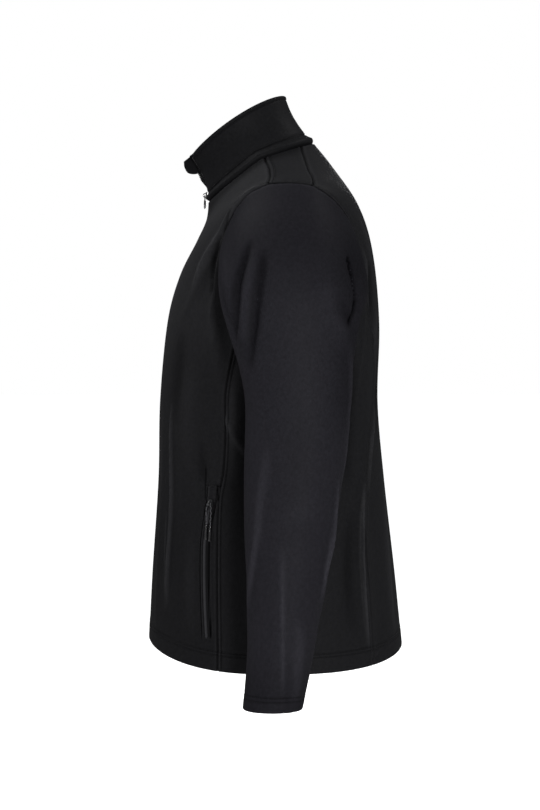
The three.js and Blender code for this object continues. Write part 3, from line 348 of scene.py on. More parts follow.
def locate(y, z):
    """Angles and levels of the body's left side at places in the side view."""
    y, z = np.broadcast_arrays(np.asarray(y, float), np.asarray(z, float))
    angle = PI / 2 + np.arcsin(np.clip(y / 150, -0.9, 0.9))
    level = np.where(z > -30, 6.5, row_of(LEVELS[:7, 1], z))
    step = 1e-4
    for _ in range(60):
        p = smooth_body(angle, level)
        pa = (smooth_body(angle + step, level) - p) / step
        pl = (smooth_body(angle, level + step) - p) / step
        det = pa[..., 1] * pl[..., 2] - pl[..., 1] * pa[..., 2]
        ey, ez = y - p[..., 1], z - p[..., 2]
        turn = (pl[..., 2] * ey - pl[..., 1] * ez) / det
        rise = (pa[..., 1] * ez - pa[..., 2] * ey) / det
        angle = np.clip(angle + np.clip(turn, -0.2, 0.2), 0.05, PI - 0.05)
        level = np.clip(level + np.clip(rise, -0.4, 0.4), HEM, NECK)
    return np.stack([angle, level], -1)


# Boundary lines in angle and level, at fractional rows


def seam_line(table, at):
    """A side panel's seam: row 0 is the hem, row 1 the top of its turn-up, the last the armhole."""
    at = np.asarray(at, float)
    z = mix(LEVELS[HEM, 1] + HEM_TURN, table[-1, 0], np.clip((at - 1) / SEAM_ROWS, 0, 1))
    line = locate(column(table[:, 1], row_of(table[:, 0], z)), z)
    line[..., 1] = np.where(at < 1, line[..., 1] * at, line[..., 1])
    return line


def armhole(table, at):
    y, z = columns_at(table, at)
    return locate(y, z)


def mirror_line(line):
    return np.stack([2 * PI - line[..., 0], line[..., 1]], -1)


def middle_angle(level):
    _, _, _, _, _, _, half, power, _, _ = columns_at(LEVELS, level)
    return np.arcsin((ZIP_EDGE / half) ** (power / 2))


def neck_angle(y):
    return math.acos(-(y - LEVELS[NECK, 4]) / (LEVELS[NECK, 5] - LEVELS[NECK, 4]))


NECK_MIDDLE = np.array([float(middle_angle(NECK)), NECK])
NECK_FRONT_SEAM = np.array([neck_angle(NECK_FRONT_SEAM_Y), NECK])
NECK_BACK_SEAM = np.array([neck_angle(NECK_BACK_SEAM_Y), NECK])
SHOULDER_FRONT = armhole(ARMHOLE_FRONT, 0)
SHOULDER_BACK = armhole(ARMHOLE_TOP, 0)


def through(shares, nodes, at):
    """Straight lines through nodes at the shares given."""
    return np.stack([np.interp(at, shares, [node[k] for node in nodes]) for k in (0, 1)], -1)


def fill_patch(bottom, top, left, right, us, vs, hold):
    """A grid of angle and level filled in between its four boundary lines."""
    u = us[None, :, None]
    rise = (vs**hold)[:, None, None]
    across = mix(left[:, None], right[:, None], u)
    upward = mix(bottom[None], top[None], rise)
    corners = mix(mix(bottom[0], bottom[-1], u), mix(top[0], top[-1], u), rise)
    return across + upward - corners


# Collar


def collar_point(u, v):
    u, v = np.broadcast_arrays(np.asarray(u, float), np.asarray(v, float))
    opened = smoothstep(COLLAR_JOINED, 1.1, v)
    start = mix(math.asin(ZIP_EDGE / TOP_HALF), COLLAR_OPEN, opened)
    top_angle = mix(start, 2 * PI - start, u)
    base_angle = mix(NECK_MIDDLE[0], 2 * PI - NECK_MIDDLE[0], u)
    foot = body_point(base_angle, np.full_like(base_angle, NECK))
    y = (TOP_Y_FRONT + TOP_Y_BACK) / 2 - np.cos(top_angle) * (TOP_Y_BACK - TOP_Y_FRONT) / 2
    share = (y - TOP_Y_FRONT) / (TOP_Y_BACK - TOP_Y_FRONT)
    rise = TOP_SWELL * np.abs(np.sin(top_angle)) ** 1.5
    top = np.stack([TOP_HALF * np.sin(top_angle), y, mix(TOP_Z_FRONT, TOP_Z_BACK, share) + rise], -1)
    p = mix(foot, top, v[..., None])
    inward = np.stack([-(np.sin(top_angle) ** 3), np.cos(top_angle), np.zeros_like(y)], -1)
    p = p + inward * (COLLAR_HOLLOW * np.sin(PI * v))[..., None]
    near_edge = bell((1 - u) * 2 * PI / FLARE_REACH)
    p[..., 1] -= FLARE * smoothstep(FLARE_START, FLARE_END, v) * near_edge
    return p


def collar_normal(u, v):
    u, v = np.asarray(u, float), np.asarray(v, float)
    along = collar_point(np.minimum(u + 0.004, 1), v) - collar_point(np.maximum(u - 0.004, 0), v)
    up = collar_point(u, np.minimum(v + 0.02, 1)) - collar_point(u, np.maximum(v - 0.02, 0))
    return unit(np.cross(along, up))


def collar_swell(v):
    roll = ROLL_HEIGHT * bell((v - ROLL_MIDDLE) / ROLL_WIDTH) * smoothstep(0, 0.03, v)
    return roll + BAND_HEIGHT * smoothstep(BAND_START, BAND_START + 0.03, v)


# Sleeve


def ring_point(turn, at):
    z, tilt, x_mid, half, y_front, y_back, square = columns_at(SLEEVE_RINGS, at)
    power = 2 / square
    c, s = np.cos(turn), np.sin(turn)
    return np.stack(
        [
            x_mid + half * np.sign(c) * np.abs(c) ** power,
            (y_front + y_back) / 2 - (y_back - y_front) / 2 * np.sign(s) * np.abs(s) ** power,
            z + tilt / 2 * c,
        ],
        -1,
    )


ARMHOLE_PARTS = (
    (ARMHOLE_FRONT, FRONT_SEGMENTS),
    (ARMHOLE_UNDER, UNDER_SEGMENTS),
    (ARMHOLE_BACK, BACK_SEGMENTS),
    (ARMHOLE_TOP, TOP_SEGMENTS),
)


def armhole_feet(per_segment):
    """Points of the body round the armhole, with the turn about its middle of each."""
    feet = []
    for table, segments in ARMHOLE_PARTS:
        at = np.arange(0, segments, 1 / per_segment)
        place = armhole(table, at)
        feet.append(on_body(place))
    feet = np.concatenate(feet)
    turn = np.arctan2(ARMHOLE_MIDDLE[0] - feet[:, 1], feet[:, 2] - ARMHOLE_MIDDLE[1])
    return feet, np.where(turn < 0, turn + 2 * PI, turn)


def cap_point(foot, turn, t):
    end = ring_point(turn, np.zeros_like(turn))
    length = np.linalg.norm(end - foot, axis=-1, keepdims=True)
    leave = mix(CAP_DOWN, CAP_OUT, (1 + np.cos(turn))[:, None] / 2)
    leave[:, 1] -= CAP_SWELL * np.sin(turn)
    arrive = unit(ring_point(turn, np.full_like(turn, 0.2)) - end)
    a = foot + unit(leave) * CAP_START * length
    b = end - arrive * CAP_END * length
    s = 1 - t
    return foot * s**3 + a * 3 * s * s * t + b * 3 * s * t * t + end * t**3


# Grids, detail and meshes


def grid_normals(points, closed):
    if closed:
        along = np.roll(points, -1, 1) - np.roll(points, 1, 1)
    else:
        along = np.gradient(points, axis=1)
    return unit(np.cross(along, np.gradient(points, axis=0)))


def resample(line, step):
    """A line of points with an even spacing of about step."""
    length = run_length(line)
    keep = np.concatenate([[True], np.diff(length) > 1e-6])
    at = np.linspace(0, length[-1], max(2, int(round(length[-1] / step)) + 1))
    return np.stack([np.interp(at, length[keep], line[keep, k]) for k in range(line.shape[1])], -1)


def line_field(points, line, reach):
    """Distance of each grid point to a line, and how far along the line its nearest place lies."""
    step = 0.4
    fine = resample(line, step)
    tree = KDTree(len(fine))
    for i, p in enumerate(fine):
        tree.insert(p, i)
    tree.balance()
    flat = points.reshape(-1, 3)
    distance = np.full(len(flat), 1e3)
    along = np.zeros(len(flat))
    low, high = fine.min(0) - reach, fine.max(0) + reach
    near = np.nonzero(np.all((flat > low) & (flat < high), axis=1))[0]
    tangent = unit(np.gradient(fine, axis=0))
    for k in near:
        _, i, d = tree.find(flat[k])
        slide = float(np.clip((flat[k] - fine[i]) @ tangent[i], -step, step))
        distance[k] = math.sqrt(max(d * d - slide * slide, 0))
        along[k] = i * step + slide
    return distance.reshape(points.shape[:2]), along.reshape(points.shape[:2])


def surface_line(points, normals, rows):
    """The line on a grid that a crease's rows name in the side view, and its widths and heights."""
    rows = np.array(rows, float)
    fine = column(rows, np.linspace(0, len(rows) - 1, 12 * len(rows)))
    flat, facing = points.reshape(-1, 3), normals.reshape(-1, 3)[:, 0] > 0.02
    flat = flat[facing]
    line = []
    for y, z, _, _ in fine:
        gap = (flat[:, 1] - y) ** 2 + (flat[:, 2] - z) ** 2
        best = np.argpartition(gap, 3)[:4]
        weight = 1 / (gap[best] + 0.5)
        line.append((flat[best] * weight[:, None]).sum(0) / weight.sum())
    return np.array(line), fine[:, 2], fine[:, 3]


CREASE_GAIN = {"front": 2.0, "side": 2.3, "back": 1.8, "sleeve": 2.0}


# Painted shade in a trough and painted highlight on a ridge: how much darker a trough and brighter a ridge
# is, and how much more so where it is narrow
TROUGH_PAINTED_SHADE, RIDGE_PAINTED_HIGHLIGHT = 0.42, 0.6


def crease_heights(points, normals, kind, right):
    """The height, and the painted shade and painted highlight, that the creases of a piece give its points.
    """
    total = np.zeros(points.shape[:2])
    tone = np.zeros(points.shape[:2])
    for i, rows in enumerate(CREASES[kind]):
        share, dy, dz = RIGHT_CREASES[kind][i] if right else (1, 0, 0)
        share *= CREASE_GAIN[kind]
        moved = [(y + dy, z + dz, width, height * share) for y, z, width, height in rows]
        line, width, height = surface_line(points, normals, moved)
        reach = 3 * width.max()
        distance, along = line_field(points, line, reach)
        length = run_length(line)
        w = np.interp(along, length, width)
        h = np.interp(along, length, height)
        added = np.where(distance < reach, h * bell(distance / w), 0)
        total += added
        narrow = mix(1.7, 1, smoothstep(2.6, 4.4, w))
        tone += np.where(added > 0, RIDGE_PAINTED_HIGHLIGHT, TROUGH_PAINTED_SHADE) * narrow * np.tanh(added / 2.5)
    return total, tone


def wander(along, seed):
    """A slow uneven wave between -1 and 1 along a seam."""
    return (
        0.45 * np.sin(along / 7.3 + seed)
        + 0.35 * np.sin(along / 3.9 + 2.1 * seed + 1.3)
        + 0.2 * np.sin(along / 17.7 + 0.7 * seed + 4.1)
    )


def seam_heights(distance, along, style, seed):
    """The height of the cloth near a seam: it turns down into the seam, swells over the allowance below it
    and dips under a row of stitches, unevenly along the seam."""
    drop, drop_width, swell, swell_at, swell_width, rows, pucker = style
    height = -drop * bell(distance / drop_width)
    uneven = 1 + 0.35 * wander(along, seed)
    height += swell * uneven * bell((distance - swell_at) / swell_width)
    for row in rows:
        height -= 0.6 * bell((distance - row) / 0.95)
    reach = (rows[-1] if rows else 4) + 3
    ripple = np.sin(along * 2 * PI / 7.1 + 1.9 * wander(along * 0.6, seed + 2))
    height += pucker * ripple * bell(distance / reach) * smoothstep(0, 1.2, distance)
    return height


# Seam styles: drop, its width, swell, where, its width, rows of stitches, pucker
PLAIN = (2.0, 1.5, 0.4, 3.4, 2.0, (), 0.12)
STITCHED = (2.1, 1.4, 0.8, 2.6, 1.6, (4.6,), 0.16)
WIDE = (2.0, 1.4, 0.6, 4.0, 2.2, (7,), 0.12)
EDGE = (0, 1, 0.1, 3, 2, (6,), 0.05)
NECKLINE = (1.8, 1.5, 0.2, 3, 2, (), 0.08)
CAP = (2.3, 1.5, 0.7, 3.6, 2.4, (), 0.22)


def rounding(distance, radius):
    inside = np.clip(radius - distance, 0, radius)
    return radius - np.sqrt(np.maximum(radius * radius - inside * inside, 0))


def link(obj):
    bpy.context.collection.objects.link(obj)
    return obj


def mesh_object(name, verts, faces, uv=None, smooth=True):
    mesh = bpy.data.meshes.new(name)
    mesh.from_pydata((np.asarray(verts) * MM).tolist(), [], faces)
    if uv is not None:
        layer = mesh.uv_layers.new(name="UVMap")
        index = np.zeros(len(mesh.loops), dtype=np.int32)
        mesh.loops.foreach_get("vertex_index", index)
        layer.data.foreach_set("uv", (np.asarray(uv)[index] * MM).ravel())
    mesh.polygons.foreach_set("use_smooth", [smooth] * len(mesh.polygons))
    mesh.update()
    return link(bpy.data.objects.new(name, mesh))


def grid_uv(points):
    """Distances along the rows and columns of a grid, so that the weave keeps its size."""
    rows, columns = points.shape[:2]
    across, upward = (np.linalg.norm(np.diff(points, axis=axis), axis=2) for axis in (1, 0))
    u = np.concatenate([np.zeros((rows, 1)), np.cumsum(across, 1)], 1)
    v = np.concatenate([np.zeros((1, columns)), np.cumsum(upward, 0)])
    u = u - u[:, u.shape[1] // 2][:, None]
    return np.stack([u, v], -1)


def quads(rows, columns, closed):
    last = columns if closed else columns - 1
    j, i = np.meshgrid(np.arange(rows - 1), np.arange(last), indexing="ij")
    a, b = j * columns + i, j * columns + (i + 1) % columns
    return np.stack([a, b, b + columns, a + columns], -1).reshape(-1, 4)


def shell_object(name, outer, inner, closed):
    """A closed thin shell between two grids. Rows and columns run so that the outer grid faces out."""
    rows, columns = outer.shape[:2]
    count = rows * columns
    front = quads(rows, columns, closed)
    faces = [front, front[:, ::-1] + count]
    ids = np.arange(count).reshape(rows, columns)

    def rim(line):
        faces.append(np.stack([line[:-1], line[:-1] + count, line[1:] + count, line[1:]], -1))

    def loop_of(row):
        return np.append(row, row[0]) if closed else row

    rim(loop_of(ids[0]))
    rim(loop_of(ids[-1])[::-1])
    if not closed:
        rim(ids[:, -1])
        rim(ids[::-1, 0])
    uv = grid_uv(outer).reshape(-1, 2)
    verts = np.concatenate([outer.reshape(-1, 3), inner.reshape(-1, 3)])
    return mesh_object(name, verts, np.concatenate(faces).tolist(), np.concatenate([uv, uv]))


EDGE_STOPS = (0, 0.35, 0.8, 1.4, 2.1, 2.8, 3.5, 4.2, 4.9, 5.6, 6.4, 7.4, 9, 11.5, 14.5)


POCKET_STOPS = (*EDGE_STOPS, *(16 + 1.25 * k for k in range(25)))
POCKET_ROWS = (5.9, 7.3)


def spaced(length, step, start=EDGE_STOPS, end=EDGE_STOPS):
    """Shares from 0 to 1 of a length: at the distances given near its two ends, else evenly."""
    count = max(1, int(round((length - start[-1] - end[-1]) / step)))
    middle = np.linspace(start[-1], length - end[-1], count + 1)
    stops = np.concatenate([start[:-1], middle, length - np.array(end[-2::-1])])
    return stops / length


def rows_between(*parts):
    """Row numbers from runs of start, end and step."""
    values = [np.arange(start, end - step * 0.4, step) for start, end, step in parts]
    return np.append(np.concatenate(values), parts[-1][1])


# Cut pieces of the body

HEM_STOPS = (
    0, 0.3, 0.7, 1.1, 1.6, 2.6, 5, 9, 13, 17, 19.4, 20.2, 20.9, 21.5, 22.1, 22.8, 23.8, 24.8, 25.5,
    26.1, 26.9, 28, 30,
)
HEM_STITCHES = (21.5, 25.8)
SEAM_STEP = (-190 - LEVELS[HEM, 1] - HEM_TURN) / SEAM_ROWS
# Millimetres to a row beside the armhole
FRONT_STEP, BACK_STEP = 23, 22


def hem_rows():
    stops = np.array(HEM_STOPS)
    return np.where(stops < HEM_TURN, stops / HEM_TURN, 1 + (stops - HEM_TURN) / SEAM_STEP)


def top_rows(last, step):
    return last - np.array(EDGE_STOPS[::-1]) / step


def front_outer(at):
    line = seam_line(FRONT_SIDE_SEAM, np.minimum(at, SIDE_TOP))
    upper = armhole(ARMHOLE_FRONT, np.clip(FRONT_TOP - at, 0, FRONT_SEGMENTS))
    return np.where((at > SIDE_TOP)[:, None], upper, line)


def front_levels(at):
    share = at / FRONT_TOP
    return mix(front_outer(at)[:, 1], NECK * share, smoothstep(0.5, 1, share))


def back_outer(at):
    line = seam_line(BACK_SIDE_SEAM, np.minimum(at, SIDE_TOP))
    upper = armhole(ARMHOLE_BACK, np.clip(at - SIDE_TOP, 0, BACK_SEGMENTS))
    return np.where((at > SIDE_TOP)[:, None], upper, line)


def hem_line(start, end, us):
    return np.stack([mix(start, end, us), np.full_like(us, HEM)], -1)


def body_panel(top_line, left, right, us, at):
    """A panel's points, filled in between the hem, its two sides and its top line."""
    hem = hem_line(left[0, 0], right[0, 0], us)
    return on_body(fill_patch(hem, top_line, left, right, us, at / at[-1], TOP_HOLD))


def front_grid():
    hem, top = hem_rows(), top_rows(FRONT_TOP, FRONT_STEP)
    low, high = POCKET_ROWS
    body = rows_between((hem[-1], low, 0.09), (low, high, 0.035), (high, SIDE_TOP, 0.09))
    at = np.concatenate([hem[:-1], body[:-1], rows_between((SIDE_TOP, top[0], 0.15))[:-1], top])
    us = spaced(225, 2.3, end=POCKET_STOPS)
    levels = front_levels(at)
    left = np.stack([middle_angle(levels), levels], -1)
    right = front_outer(at)
    top_line = through((0, 0.5, 1), (NECK_MIDDLE, NECK_FRONT_SEAM, SHOULDER_FRONT), us)
    return body_panel(top_line, left, right, us, at), at, us


def side_grid():
    hem, top = hem_rows(), top_rows(SIDE_TOP, SEAM_STEP)
    at = np.concatenate([hem[:-1], rows_between((hem[-1], top[0], 0.09))[:-1], top])
    us = spaced(205, 2.6)
    left, right = seam_line(FRONT_SIDE_SEAM, at), seam_line(BACK_SIDE_SEAM, at)
    return body_panel(armhole(ARMHOLE_UNDER, us * UNDER_SEGMENTS), left, right, us, at)


def back_grid():
    hem, top = hem_rows(), top_rows(BACK_TOP, BACK_STEP)
    low, high = rows_between((hem[-1], SIDE_TOP, 0.12)), rows_between((SIDE_TOP, top[0], 0.2))
    at = np.concatenate([hem[:-1], low[:-1], high[:-1], top])
    us = spaced(420, 4.6)
    left = back_outer(at)
    right = mirror_line(left)
    shares = (0, NECK_BACK_SHARE, 1 - NECK_BACK_SHARE, 1)
    nodes = (SHOULDER_BACK, NECK_BACK_SEAM, mirror_line(NECK_BACK_SEAM), mirror_line(SHOULDER_BACK))
    return body_panel(through(shares, nodes, us), left, right, us, at), at, us


def shoulder_grid():
    vs, us = spaced(158, 4.2), spaced(62, 3)
    bottom = armhole(ARMHOLE_TOP, TOP_SEGMENTS * (1 - us))
    top = through((0, 1), (NECK_FRONT_SEAM, NECK_BACK_SEAM), us)
    left = through((0, 1), (SHOULDER_FRONT, NECK_FRONT_SEAM), vs)
    right = through((0, 1), (SHOULDER_BACK, NECK_BACK_SEAM), vs)
    return on_body(fill_patch(bottom, top, left, right, us, vs, 1))


def offset_path(outer, normals, distance, value, axis, from_end):
    """Where the distance from an edge reaches a value, on every row (axis 0) or column (axis 1)."""
    if axis == 1:
        outer, normals, distance = (np.swapaxes(a, 0, 1) for a in (outer, normals, distance))
    if from_end:
        outer, normals, distance = outer[:, ::-1], normals[:, ::-1], distance[:, ::-1]
    places, facing = [], []
    for j in range(len(outer)):
        beyond = np.nonzero(distance[j] >= value)[0]
        if not len(beyond) or beyond[0] == 0 or beyond[0] > 40:
            continue
        i = beyond[0]
        t = (value - distance[j, i - 1]) / (distance[j, i] - distance[j, i - 1])
        places.append(mix(outer[j, i - 1], outer[j, i], t))
        facing.append(normals[j, i])
    return np.array(places), np.array(facing)


STITCH_PITCH = 3.3
STITCH_LENGTH = 2.5
THREAD_RADIUS = 0.27
THREAD_SIDES = 5


def stitch_mesh(name, paths, mirrored):
    """Rows of stitches: each is a short thread that dips into the cloth at both ends. A path is its points,
    their normals, and the pitch and length of a stitch."""
    verts, faces = [], []
    ring = [2 * PI * k / THREAD_SIDES for k in range(THREAD_SIDES)]
    for places, facing, pitch, stitch in paths:
        if len(places) < 3:
            continue
        line = resample(np.concatenate([places, facing], 1), 0.5)
        length = run_length(line[:, :3])
        start = (pitch - stitch) / 2
        while start + stitch < length[-1]:
            reach = (start, start + stitch)
            ends = [np.array([np.interp(s, length, line[:, k]) for k in range(6)]) for s in reach]
            p0, p1 = ends[0][:3], ends[1][:3]
            normal = unit(ends[0][3:] + ends[1][3:])
            along = unit(p1 - p0)
            across = np.cross(normal, along)
            base = len(verts)
            verts.append(p0 - normal * 0.15)
            for share in (0.16, 0.84):
                middle = mix(p0, p1, share) + normal * 0.16
                for a in ring:
                    verts.append(middle + THREAD_RADIUS * (across * math.cos(a) + normal * math.sin(a)))
            verts.append(p1 - normal * 0.15)
            for k in range(THREAD_SIDES):
                n = (k + 1) % THREAD_SIDES
                a, b = base + 1 + k, base + 1 + n
                c, d = b + THREAD_SIDES, a + THREAD_SIDES
                faces += [(base, b, a), (a, b, c, d), (c, base + 2 * THREAD_SIDES + 1, d)]
            start += pitch
    verts = np.array(verts)
    if mirrored:
        verts[:, 0] *= -1
        faces = [face[::-1] for face in faces]
    return mesh_object(name, verts, faces)


def settled(line, tree, outer, normals):
    """A line of the base surface moved to the finished one, with its normals."""
    flat, facing = outer.reshape(-1, 3), normals.reshape(-1, 3)
    places, faces_out = [], []
    for p in resample(line, 1):
        found = tree.find_n(p, 4)
        weight = np.array([1 / (d * d + 0.3) for _, _, d in found])
        index = [i for _, i, _ in found]
        weight /= weight.sum()
        normal = unit(weight @ facing[index])
        near = weight @ flat[index]
        places.append(p + normal * ((near - p) @ normal))
        faces_out.append(normal)
    return np.array(places), np.array(faces_out)


# Painted shade in a seam's groove and painted highlight on the swell beside it, and a fainter amount of both
# for some seams
SEAM_PAINTED_LIGHT, FAINT_SEAM_PAINTED_LIGHT = 0.36, 0.12


def point_values(obj, name, values):
    layer = obj.data.attributes.new(name, "FLOAT", "POINT")
    layer.data.foreach_set("value", np.clip(values, -0.9, 0.9).astype(np.float32))


class Piece:
    """A cut piece's grid on the left side, to which creases, seams and stitches are added."""

    def __init__(self, points, closed=False):
        self.points = points
        self.closed = closed
        self.normals = grid_normals(points, closed)
        self.heights = np.zeros(points.shape[:2])
        self.inset = np.zeros(points.shape[:2])
        self.wall = np.full(points.shape[:2], CLOTH)
        self.wear = np.zeros(points.shape[:2])
        self.tone = np.zeros(points.shape[:2])
        self.rows_of_stitches = []
        self.free_rows = []

    def crease(self, kind, right=False):
        """Adds the traced creases, on the left as they are and on the right with their own shares, with
        painted shade in their troughs and painted highlight on their ridges.
        """
        heights, tone = crease_heights(self.points, self.normals, kind, right)
        self.heights += heights
        self.tone += tone

    def shade(self, line, amount, middle, width):
        """A soft band of shade beside a line, its middle at a distance from it."""
        distance, _ = line_field(self.points, line, middle + 2.5 * width)
        self.tone -= amount * bell((distance - middle) / width)

    def seam(self, line, style, seed, stitches=None, reach=14, tone=SEAM_PAINTED_LIGHT):
        """A seam along a line. stitches is the axis and whether it lies at the grid's far end."""
        distance, along = line_field(self.points, line, reach)
        heights = seam_heights(distance, along, style, seed)
        self.heights += heights
        # Painted shade where the seam turns down into its groove, painted highlight on the swell beside it
        self.tone += tone * np.tanh(heights / 0.9)
        self.wear = np.maximum(self.wear, bell(distance / 2.2))
        if stitches is not None:
            for row in style[5]:
                self.rows_of_stitches.append((distance, row, *stitches))

    def hem(self, line, axis, from_end, rows, turn):
        """A turned-up edge with a rounded fold and rows of stitches."""
        distance, along = line_field(self.points, line, turn + 8)
        self.inset = np.maximum(self.inset, rounding(distance, HEM_CLOTH / 2))
        self.heights += 0.45 * (1 - smoothstep(turn - 3, turn + 0.8, distance)) * (1 + 0.3 * wander(along, 5))
        for row in rows:
            groove = bell((distance - row) / 1.0)
            self.heights -= 0.6 * groove
            # Painted shade in each stitch groove
            self.tone -= 0.3 * groove
            self.rows_of_stitches.append((distance, row, axis, from_end))
        self.wall = np.maximum(self.wall, mix(HEM_CLOTH, CLOTH, smoothstep(turn - 2, turn + 2, distance)))
        ripple = np.sin(along * 2 * PI / 9.3 + 2 * wander(along, 3))
        self.heights += 0.12 * ripple * bell((distance - turn) / 6)
        self.wear = np.maximum(self.wear, bell(distance / 1.5))

    def build(self, name, mirrored=False):
        """The thin shell and its stitches."""
        outer = self.points + self.normals * (self.heights - self.inset)[..., None]
        normals = grid_normals(outer, self.closed)
        depth = self.wall - 2 * self.inset + np.minimum(self.heights, 0) * 0.6
        inner = outer - self.normals * np.maximum(depth, 0.7)[..., None]
        paths = [
            (*offset_path(outer, normals, *row), STITCH_PITCH, STITCH_LENGTH) for row in self.rows_of_stitches
        ]
        if self.free_rows:
            tree = KDTree(self.points.shape[0] * self.points.shape[1])
            for i, p in enumerate(self.points.reshape(-1, 3)):
                tree.insert(p, i)
            tree.balance()
            for line, pitch, stitch in self.free_rows:
                paths.append((*settled(line, tree, outer, normals), pitch, stitch))
        wear, tone = self.wear, self.tone
        if mirrored:
            outer, inner = outer[:, ::-1] * (-1, 1, 1), inner[:, ::-1] * (-1, 1, 1)
            wear, tone = wear[:, ::-1], tone[:, ::-1]
        shell = shell_object(name, outer, inner, self.closed)
        point_values(shell, "wear", np.concatenate([wear.ravel(), wear.ravel()]))
        # The painted shade and painted highlight, on the outer face only
        point_values(shell, "tone", np.concatenate([tone.ravel(), tone.ravel() * 0]))
        threads = stitch_mesh("stitches_" + name, paths, mirrored) if paths else None
        return shell, threads


def seam_part(points, at, column_index, low, high):
    keep = (at >= low - 1e-9) & (at <= high + 1e-9)
    return points[keep, column_index]


# Hand pocket: the zip's middle line in the side view, the strip's section as across and out, and the panel's
# relief beside it
POCKET_TOP, POCKET_BOTTOM = -422, -624
POCKET_LINE = np.array(
    [(-624, -104.2), (-585, -105.8), (-540, -106.8), (-500, -106.2), (-470, -102.6), (-444, -97.6),
     (-422, -95.5)]
)
STRIP_SECTION = np.array(
    [
        (-4.9, -0.7), (-4.8, 0.1), (-4.5, 0.16), (-4.1, 0.05), (-3.8, 0.02), (-3.4, 0.1), (-3, 0.5),
        (-2.7, 1.0),
        (-2.3, 1.32), (-1.7, 1.44), (-1, 1.44), (-0.3, 1.38), (0.3, 1.16), (0.8, 0.76), (1.3, 0.4),
        (2, 0.3), (3, 0.3),
        (4, 0.3), (4.6, 0.1), (4.9, -0.7),
    ]
)
# Painted light across the strip by its height: painted shade in its grooves, painted highlight on its ridge
STRIP_PAINTED_LIGHTS = ((-0.7, 0.1, 0.3, 0.6, 1.2, 1.44), (-0.9, -0.88, -0.6, -0.2, 0.7, 0.9))
STRIP_PAINTED_LIGHT = np.interp(STRIP_SECTION[:, 1], *STRIP_PAINTED_LIGHTS)
GARAGE = {"front": -104.6, "back": -90.5, "top": -421.5, "bottom": -441.5, "height": 0.9}
# Relief beside the zip, by height, place across it and width, and its two rows of stitches
POCKET_GROOVES = ((-1.2, -8.1, 1.0), (-1.4, 5.9, 1.1))
POCKET_LIPS = ((0.8, -6.1, 0.9), (0.25, 8.6, 1.8))
POCKET_STITCHES = (-9.6, 10.2)
# Narrow grooves round the patch: where they lie, then from and to along them, in the side view
PATCH_UPRIGHT = ((-106.3, -441, -398), (-89.8, -441, -420))
PATCH_ACROSS = ((-421.8, -105.5, -85),)
PATCH_GROOVE, PATCH_GROOVE_WIDTH = 1.0, 1.1
TACK_PITCH, TACK_LENGTH, TACK_ROWS = 0.62, 4.4, 13


def pocket_line(share):
    """Angles and levels of the pocket's middle line, from its bottom to its top."""
    z = mix(POCKET_BOTTOM, POCKET_TOP, share)
    return locate(column(POCKET_LINE[:, 1], row_of(POCKET_LINE[:, 0], z)), z)


def window(value, low, high, soft):
    return smoothstep(low - soft, low + soft, value) * (1 - smoothstep(high - soft, high + soft, value))


def pocket_relief(piece):
    """Grooves beside the pocket zip, the patch over its top end, and the rows of stitches round it."""
    share = np.linspace(0, 1, 60)
    place = pocket_line(share)
    line = on_body(place)
    distance, along = line_field(piece.points, line, 22)
    length = run_length(line)
    across = np.sign(piece.points[..., 1] - np.interp(along, length, line[:, 1])) * distance
    ends = smoothstep(-2, 5, along) * (1 - smoothstep(length[-1] - 4, length[-1] + 2, along))
    groove, lip = ridges(across, POCKET_GROOVES), ridges(across, POCKET_LIPS)
    piece.heights += (groove + lip) * ends
    # Painted shade in the grooves and painted highlight on the lips beside the zip
    piece.tone += (0.6 * groove + 0.8 * lip) * ends
    y, z = piece.points[..., 1], piece.points[..., 2]
    patch = window(y, GARAGE["front"], GARAGE["back"], 0.7) * window(z, GARAGE["bottom"], GARAGE["top"], 0.8)
    lines = 0
    for middle, low, high in PATCH_UPRIGHT:
        lines = lines + bell((y - middle) / PATCH_GROOVE_WIDTH) * window(z, low, high, 2)
    for middle, low, high in PATCH_ACROSS:
        lines = lines + bell((z - middle) / PATCH_GROOVE_WIDTH) * window(y, low, high, 1.5)
    relief = (GARAGE["height"] * patch - PATCH_GROOVE * lines) * (piece.normals[..., 0] > 0)
    piece.heights += relief
    # Painted shade in the narrow grooves round the patch
    piece.tone += 0.6 * np.minimum(relief, 0.12)
    normal = body_normal(place[:, 0], place[:, 1])
    sideways = unit(np.cross(np.gradient(line, axis=0), normal))
    for offset in POCKET_STITCHES:
        piece.free_rows.append((line + sideways * offset, STITCH_PITCH, STITCH_LENGTH))
    for end in (0, -1):
        up = unit(np.gradient(line, axis=0))[end]
        for row in range(TACK_ROWS):
            middle = line[end] + sideways[end] * (row - (TACK_ROWS - 1) / 2) * TACK_PITCH
            half = up * (TACK_LENGTH / 2 + 0.1)
            tack = np.stack([middle - half, middle, middle + half])
            piece.free_rows.append((tack, TACK_LENGTH + 0.1, TACK_LENGTH))


# Painted light on the front: painted shade beside the armhole and below the collar, a painted highlight at
# the chest, and painted shade darker towards the hem
ARMHOLE_PAINTED_SHADE = 0.6
ARMHOLE_ROW = 4.3
COLLAR_SHADE = (0.5, 13, 19)
CHEST_PAINTED_HIGHLIGHT, LOW_PAINTED_SHADE = 0.28, 0.14


